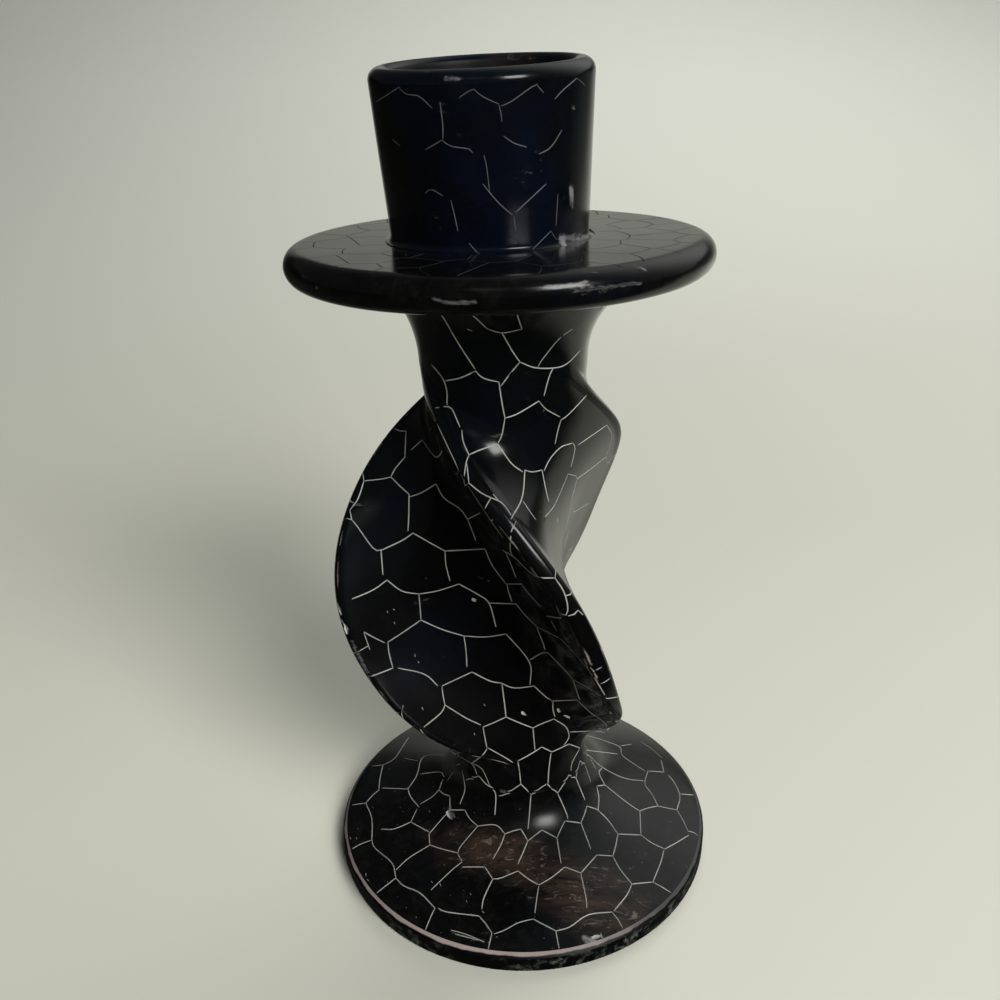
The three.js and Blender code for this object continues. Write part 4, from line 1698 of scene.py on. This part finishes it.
def worn_bevel(worn_from):
    """The foot's bevel, where the dye has worn off nearly all the way round from a height up."""
    finish = settings("finish")
    material, shader, place = new_material("worn_bevel")
    grain = noise(place, 240, 5)
    toward = reckoned("ShaderNodeVectorMath", "DOT_PRODUCT", place, BEVEL_WORN_TOWARDS)
    pink = grain.times_and(14 * MM, toward).ranged(0.35 * FOOT_RADIUS, 1.15 * FOOT_RADIUS)
    _, _, height = separated(place)
    bare = grain.times_and(0.7 * MM, height).ranged(worn_from, worn_from + 0.15 * MM)
    base = mixed(bare, finish.dye, mixed(pink, BEVEL_GREY, finish.worn))
    feed(shader, Base_Color=base, Roughness=0.4, Normal=bumped(grain, 0.3, 0.1 * MM))
    return material


def speckled_wall():
    """The foot's dull side wall, with grey-green speckles where the dye is thin."""
    finish = settings("finish")
    material, shader, place = new_material("speckled_wall")
    grain = noise(place, 520, 5, Roughness=0.7).ranged(0.5, 0.66)
    speckles = grain * noise(place, 60, 2).ranged(0.36, 0.58)
    feed(shader, Base_Color=mixed(speckles, finish.dye, WALL_GREY), Roughness=0.34)
    return material


def pin_steel():
    """Drawn steel rod with fine rings."""
    material, shader, place = new_material("drawn_steel")
    rings = noise(stretched(place, (1, 1, 30)), 120, 3)
    feed(shader, Base_Color=mixed(rings, STEEL_DARK, STEEL_BRIGHT), Metallic=1.0,
         Roughness=rings.ranged(0.3, 0.7, 0.25, 0.45))
    return material


def grain_stone():
    """Pale grains of stone dust and nicks."""
    finish = settings("finish")
    material, shader, place = new_material("stone_grains")
    tones = noise(place, 350, 1).ranged(0.35, 0.65)
    feed(shader, Base_Color=mixed(tones, GRAIN_GREY, finish.scuffed), Roughness=0.8)
    return material


# Grains: small specks strewn over the stone

def grain_tree():
    """A tree that strews small flat grains over a surface."""
    tree, enter = new_tree("GeometryNodeTree", "Grains", {
        "Surface": "Geometry", "Density": "Float", "Size": "Float", "Seed": "Int",
        "Material": "Material",
    })
    strewn = add_node(tree, "GeometryNodeDistributePointsOnFaces", Mesh=enter["Surface"],
                      Density=enter["Density"], Seed=enter["Seed"])
    sizes = add_node(tree, "FunctionNodeRandomValue", Seed=enter["Seed"])
    for socket, share in zip(sizes.inputs[2:4], (0.3, 1.0)):
        socket.default_value = share
    size = Wire(sizes.outputs[1]) * enter["Size"]
    grains = output_of(
        tree, "GeometryNodeInstanceOnPoints", 0, Points=Wire(strewn.outputs["Points"]),
        Rotation=Wire(strewn.outputs["Rotation"]),
        Instance=output_of(tree, "GeometryNodeMeshIcoSphere", "Mesh", Radius=1.0),
        Scale=output_of(tree, "ShaderNodeCombineXYZ", 0, X=size, Y=size * 0.6, Z=size * 0.25),
    )
    return growing_tree(tree, grains, enter["Material"])


def strew_grains(key, density, size, seed, material):
    """Grains over one skin, as a piece of their own that rides with the stone."""
    points = LAYOUTS[key].skin.points[::6, ::6]
    mesh = bpy.data.meshes.new(key)
    mesh.from_pydata(points.reshape(-1, 3).tolist(), [], ring_quads(*points.shape[:2]).tolist())
    surface = shown(key + "_ground", mesh)
    tree = bpy.data.node_groups.get("Grains") or grain_tree()
    values = {"Density": density, "Size": size * MM, "Seed": seed, "Material": material}
    grains = shown(key + "_grains", grown(surface, tree, values))
    bpy.data.objects.remove(surface)
    bpy.data.meshes.remove(mesh)
    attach(grains, BODY)


# Operators: the layout, one for each piece, the grains and the stage

class HOLDER_OT_lay_out(bpy.types.Operator):
    """Lays out the smooth skins of the stone pieces and the lines cut into them"""
    bl_idname = "holder.lay_out"
    bl_label = "Lay out skins and lines"

    def execute(self, context):
        lay_out()
        return {"FINISHED"}


class HOLDER_OT_make_foot(bpy.types.Operator):
    """Makes the round foot with its dome, worn bevel and cut lines"""
    bl_idname = "holder.make_foot"
    bl_label = "Make foot"

    def execute(self, context):
        size = settings("foot")
        columns = 144
        piece = Piece("foot")
        _, top = piece.add_carved(even_turns(columns), ring_shares("foot", 1.3 * MM, 0.12))
        low = (FOOT_RADIUS, size.lower_edge)
        high = (FOOT_RADIUS, size.wall)
        rim = turned_points([(FOOT_RADIUS - size.lower_edge, 0), low], columns)
        wall = line_points(low, high, 1 * MM)
        bevel = line_points(high, foot_edge(size), 0.4 * MM)
        piece.add_rings(rim, finish=3)
        piece.add_rings(turned_points(wall, columns), finish=3)
        piece.add_rings(turned_points(bevel, columns), finish=2)
        piece.add_cap(rim[0], upwards=False)
        piece.add_pin_hole(top, 0.0, settings("holes").in_foot)
        piece.stand_in(worn_bevel(size.wall + 0.75 * size.bevel), speckled_wall())
        return {"FINISHED"}


class HOLDER_OT_make_stem(bpy.types.Operator):
    """Makes the twisted stem with its three fins and its cut lines"""
    bl_idname = "holder.make_stem"
    bl_label = "Make stem"

    def execute(self, context):
        holes = settings("holes")
        rim = np.linspace(0, RIM_SHARE, 11)[:-1]
        face = np.linspace(RIM_SHARE, 1, 31)[:-1]
        third = np.concatenate((rim, face)) / 3
        turns = np.concatenate((third, third + 1 / 3, third + 2 / 3))
        piece = Piece("stem")
        low, high = piece.add_carved(turns, np.linspace(0, 1, 91))
        piece.add_pin_hole(low, 0.0, -holes.in_stem)
        piece.add_pin_hole(high, PAN_X, holes.in_stem)
        piece.stand_in()
        return {"FINISHED"}


class HOLDER_OT_make_pan(bpy.types.Operator):
    """Makes the drip pan with its rounded rim, its seats and fine lines"""
    bl_idname = "holder.make_pan"
    bl_label = "Make drip pan"

    def execute(self, context):
        columns = 160
        piece = Piece("pan")
        below, above = piece.add_carved(even_turns(columns), ring_shares("pan", 1.4 * MM, 0.14))
        ceiling = level_ring(below, STEM_TOP)
        floor = level_ring(above, CUP_BOTTOM)
        mouth = (settings("holes").radius, STEM_TOP)
        low_hole = turned_points([mouth], columns, centre=(PAN_X, 0.0, 0.0))[0]
        high_hole = level_ring(low_hole, CUP_BOTTOM)
        for start, end in ((low_hole, ceiling), (ceiling, below), (above, floor),
                           (floor, high_hole), (high_hole, low_hole)):
            piece.add_rings(np.stack((start, end)))
        piece.stand_in()
        return {"FINISHED"}


def level_ring(ring, height):
    moved = ring.copy()
    moved[:, 2] = height
    return moved


class HOLDER_OT_make_cup(bpy.types.Operator):
    """Makes the candle cup with its rounded lip, tapered socket and fine lines"""
    bl_idname = "holder.make_cup"
    bl_label = "Make candle cup"

    def execute(self, context):
        heights = LAYOUTS["cup"].skin.points[..., 2].mean(axis=1)
        inside_from = heights.argmax() / (len(heights) - 1) + 0.03
        piece = Piece("cup")
        low, floor = piece.add_carved(even_turns(144), ring_shares("cup", 1.4 * MM, 0.14),
                                      inside_from)
        base = level_ring(low, CUP_BOTTOM)
        piece.add_rings(np.stack((base, low)))
        piece.add_pin_hole(base, PAN_X, -settings("holes").in_cup)
        piece.add_cap(floor, upwards=True)
        piece.stand_in(polished_stone("socket"))
        return {"FINISHED"}


class HOLDER_OT_finish_pins(bpy.types.Operator):
    """Gives the two hidden pins their drawn steel"""
    bl_idname = "holder.finish_pins"
    bl_label = "Finish pins"

    def execute(self, context):
        steel = pin_steel()
        for node in ("lower_pin", "upper_pin"):
            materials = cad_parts[node].data.materials
            materials.clear()
            materials.append(steel)
        return {"FINISHED"}


class HOLDER_OT_strew_grains(bpy.types.Operator):
    """Strews small pale grains over the foot, the stem and the pan"""
    bl_idname = "holder.strew_grains"
    bl_label = "Strew grains"

    def execute(self, context):
        material = grain_stone()
        strew_grains("foot", density=42000, size=0.16, seed=1, material=material)
        strew_grains("stem", density=3500, size=0.12, seed=2, material=material)
        strew_grains("pan", density=8000, size=0.11, seed=3, material=material)
        return {"FINISHED"}


class HOLDER_OT_make_stage(bpy.types.Operator):
    """Makes the pale floor, the soft light and the camera"""
    bl_idname = "holder.make_stage"
    bl_label = "Make stage"

    def execute(self, context):
        make_floor()
        make_lights()
        make_world()
        make_camera()
        return {"FINISHED"}


# Where the floor ends in front and at the sides, where its bend starts, and the bend's radius
# and the step along it
FLOOR_NEAR = -1.2
FLOOR_SIDE = 2.0
BEND_FROM = 0.35
BEND = 1.1
BEND_STEP = 0.046


def make_floor():
    """A floor that curves up gently behind the object."""
    outline = [(FLOOR_NEAR, 0.0), *arc_points((BEND_FROM, BEND), BEND, -90, -35, BEND_STEP)]
    points = [(x, y, z) for y, z in outline for x in (-FLOOR_SIDE, FLOOR_SIDE)]
    faces = [(2 * i, 2 * i + 1, 2 * i + 3, 2 * i + 2) for i in range(len(outline) - 1)]
    mesh = bpy.data.meshes.new("floor")
    mesh.from_pydata(points, [], faces)
    mesh.polygons.foreach_set("use_smooth", [True] * len(faces))
    mesh.materials.append(pale_floor())
    shown("floor", mesh)


def pale_floor():
    """Warm white floor, painted brighter far behind, which the polish mirrors only where it lies behind
    the object; elsewhere glossy rays see it painted near black, as painted shade of a dark room, and the
    far part dimmer.
    """
    finish = settings("finish")
    material, shader, place = new_material("pale_floor")
    across, away, _ = separated(place)
    # Painted brighter towards the back, where less light falls
    tone = mixed(away.ranged(0.15, 0.9), finish.floor, finish.backdrop)
    turned = across.times_and(-0.3, away)
    behind = turned.ranged(-0.05, 0.0) * turned.ranged(0.05, 0.3, 0.4, 1.0)
    slanted = away.times_and(0.45, across)
    beside = slanted.ranged(-0.1, 0.15) * across.ranged(0.25, 0.7, 1.0, 0.2)
    near = away.ranged(0.3, 0.9, 1.0, 0.55)
    mirrored = behind * near * beside.at_least(0.04)
    in_gloss = output_of(place.tree, "ShaderNodeLightPath", "Is Glossy Ray")
    # Painted shade: glossy rays see the floor near black where it is not mirrored, and dimmer far behind
    base = mixed(in_gloss * (1.0 - mirrored), tone, (0.004, 0.004, 0.004))
    feed(shader, Base_Color=base, Roughness=0.9, Specular_IOR_Level=0.0)
    return material


DAYLIGHT = (1.0, 1.0, 0.97)
LIGHTS_AIM = Vector((0.0, 0.0, 0.07))

# Each with its bearing and rise in degrees, its distance and size in metres, its brightness, and
# whether the polish mirrors it
LIGHTS = {
    "window": (145, 34, 0.9, (0.29, 0.26), 5.5, True),
    "pale_ceiling": (-173, 41, 0.9, (0.25, 0.2), 0.12, True),
    "room_right": (145, 32, 1.0, (0.5, 0.5), 14.0, False),
    "room_back": (30, 50, 1.1, (0.9, 0.6), 3.3, False),
}


def make_lights():
    """Rectangles of light that face the middle of the holder."""
    for name, (bearing, rise, distance, size, radiance, mirrored) in LIGHTS.items():
        lamp = bpy.data.lights.new(name, "AREA")
        lamp.shape = "RECTANGLE"
        lamp.size, lamp.size_y = size
        lamp.energy = radiance * math.pi * size[0] * size[1]
        lamp.color = DAYLIGHT
        light = shown(name, lamp)
        way = Vector(heading(math.radians(bearing), math.radians(rise)))
        light.location = LIGHTS_AIM + way * distance
        light.rotation_euler = (-way).to_track_quat("-Z", "Y").to_euler()
        light.visible_glossy = mirrored


# Where the room is brightest, and its colours there, elsewhere and as seen behind the floor
ROOM_BRIGHTEST = (0.60, 0.55, 0.58)
ROOM_BRIGHT = (0.46, 0.47, 0.45)
ROOM_DARK = (0.020, 0.020, 0.021)
ROOM_SEEN = (0.62, 0.63, 0.58)


def make_world():
    """A room that is bright behind on the right and dark elsewhere, seen itself as pale."""
    world = bpy.data.worlds.new("room")
    world.use_nodes = True
    tree = world.node_tree
    way = output_of(tree, "ShaderNodeTexCoord", "Generated")
    toward = reckoned("ShaderNodeVectorMath", "DOT_PRODUCT", way, ROOM_BRIGHTEST)
    sky = mixed(toward.at_least(0.0) ** 6.0, ROOM_DARK, ROOM_BRIGHT)
    seen = output_of(tree, "ShaderNodeLightPath", "Is Camera Ray")
    feed(tree.nodes["Background"], Color=mixed(seen, sky, ROOM_SEEN))
    bpy.context.scene.world = world


def make_camera():
    """The camera that the photograph was taken with, as fitted to its outlines."""
    data = bpy.data.cameras.new("camera")
    data.sensor_fit = "HORIZONTAL"
    data.sensor_width = 36.0
    data.lens = data.sensor_width * FOCAL_PIXELS / FRAME_PIXELS
    data.clip_start = 0.01
    data.clip_end = 20.0
    right, up, forward = camera_axes()
    camera = shown("camera", data)
    turn = Matrix((right, up, -forward)).transposed().to_4x4()
    camera.matrix_world = Matrix.Translation(CAMERA_PLACE) @ turn
    bpy.context.scene.camera = camera


STEPS = (
    HOLDER_OT_lay_out, HOLDER_OT_make_foot, HOLDER_OT_make_stem, HOLDER_OT_make_pan,
    HOLDER_OT_make_cup, HOLDER_OT_finish_pins, HOLDER_OT_strew_grains, HOLDER_OT_make_stage,
)


class HOLDER_PT_steps(bpy.types.Panel):
    """Lists the steps that make the holder"""
    bl_label = "Candle holder"
    bl_space_type = "VIEW_3D"
    bl_region_type = "UI"
    bl_category = "Holder"

    def draw(self, context):
        for step in STEPS:
            self.layout.operator(step.bl_idname)
        for name, group in SETTINGS.items():
            box = self.layout.box()
            for key in group.__annotations__:
                box.prop(settings(name), key)


def register():
    for name, group in SETTINGS.items():
        bpy.utils.register_class(group)
        setattr(bpy.types.Scene, "holder_" + name, PointerProperty(type=group))
    for part in (*STEPS, HOLDER_PT_steps):
        bpy.utils.register_class(part)


def unregister():
    for part in (HOLDER_PT_steps, *reversed(STEPS)):
        bpy.utils.unregister_class(part)
    for name, group in reversed(SETTINGS.items()):
        delattr(bpy.types.Scene, "holder_" + name)
        bpy.utils.unregister_class(group)


def main():
    register()
    bpy.context.scene.view_settings.view_transform = "Standard"
    for step in STEPS:
        family, action = step.bl_idname.split(".")
        getattr(getattr(bpy.ops, family), action)()


if __name__ == "__main__":
    main()
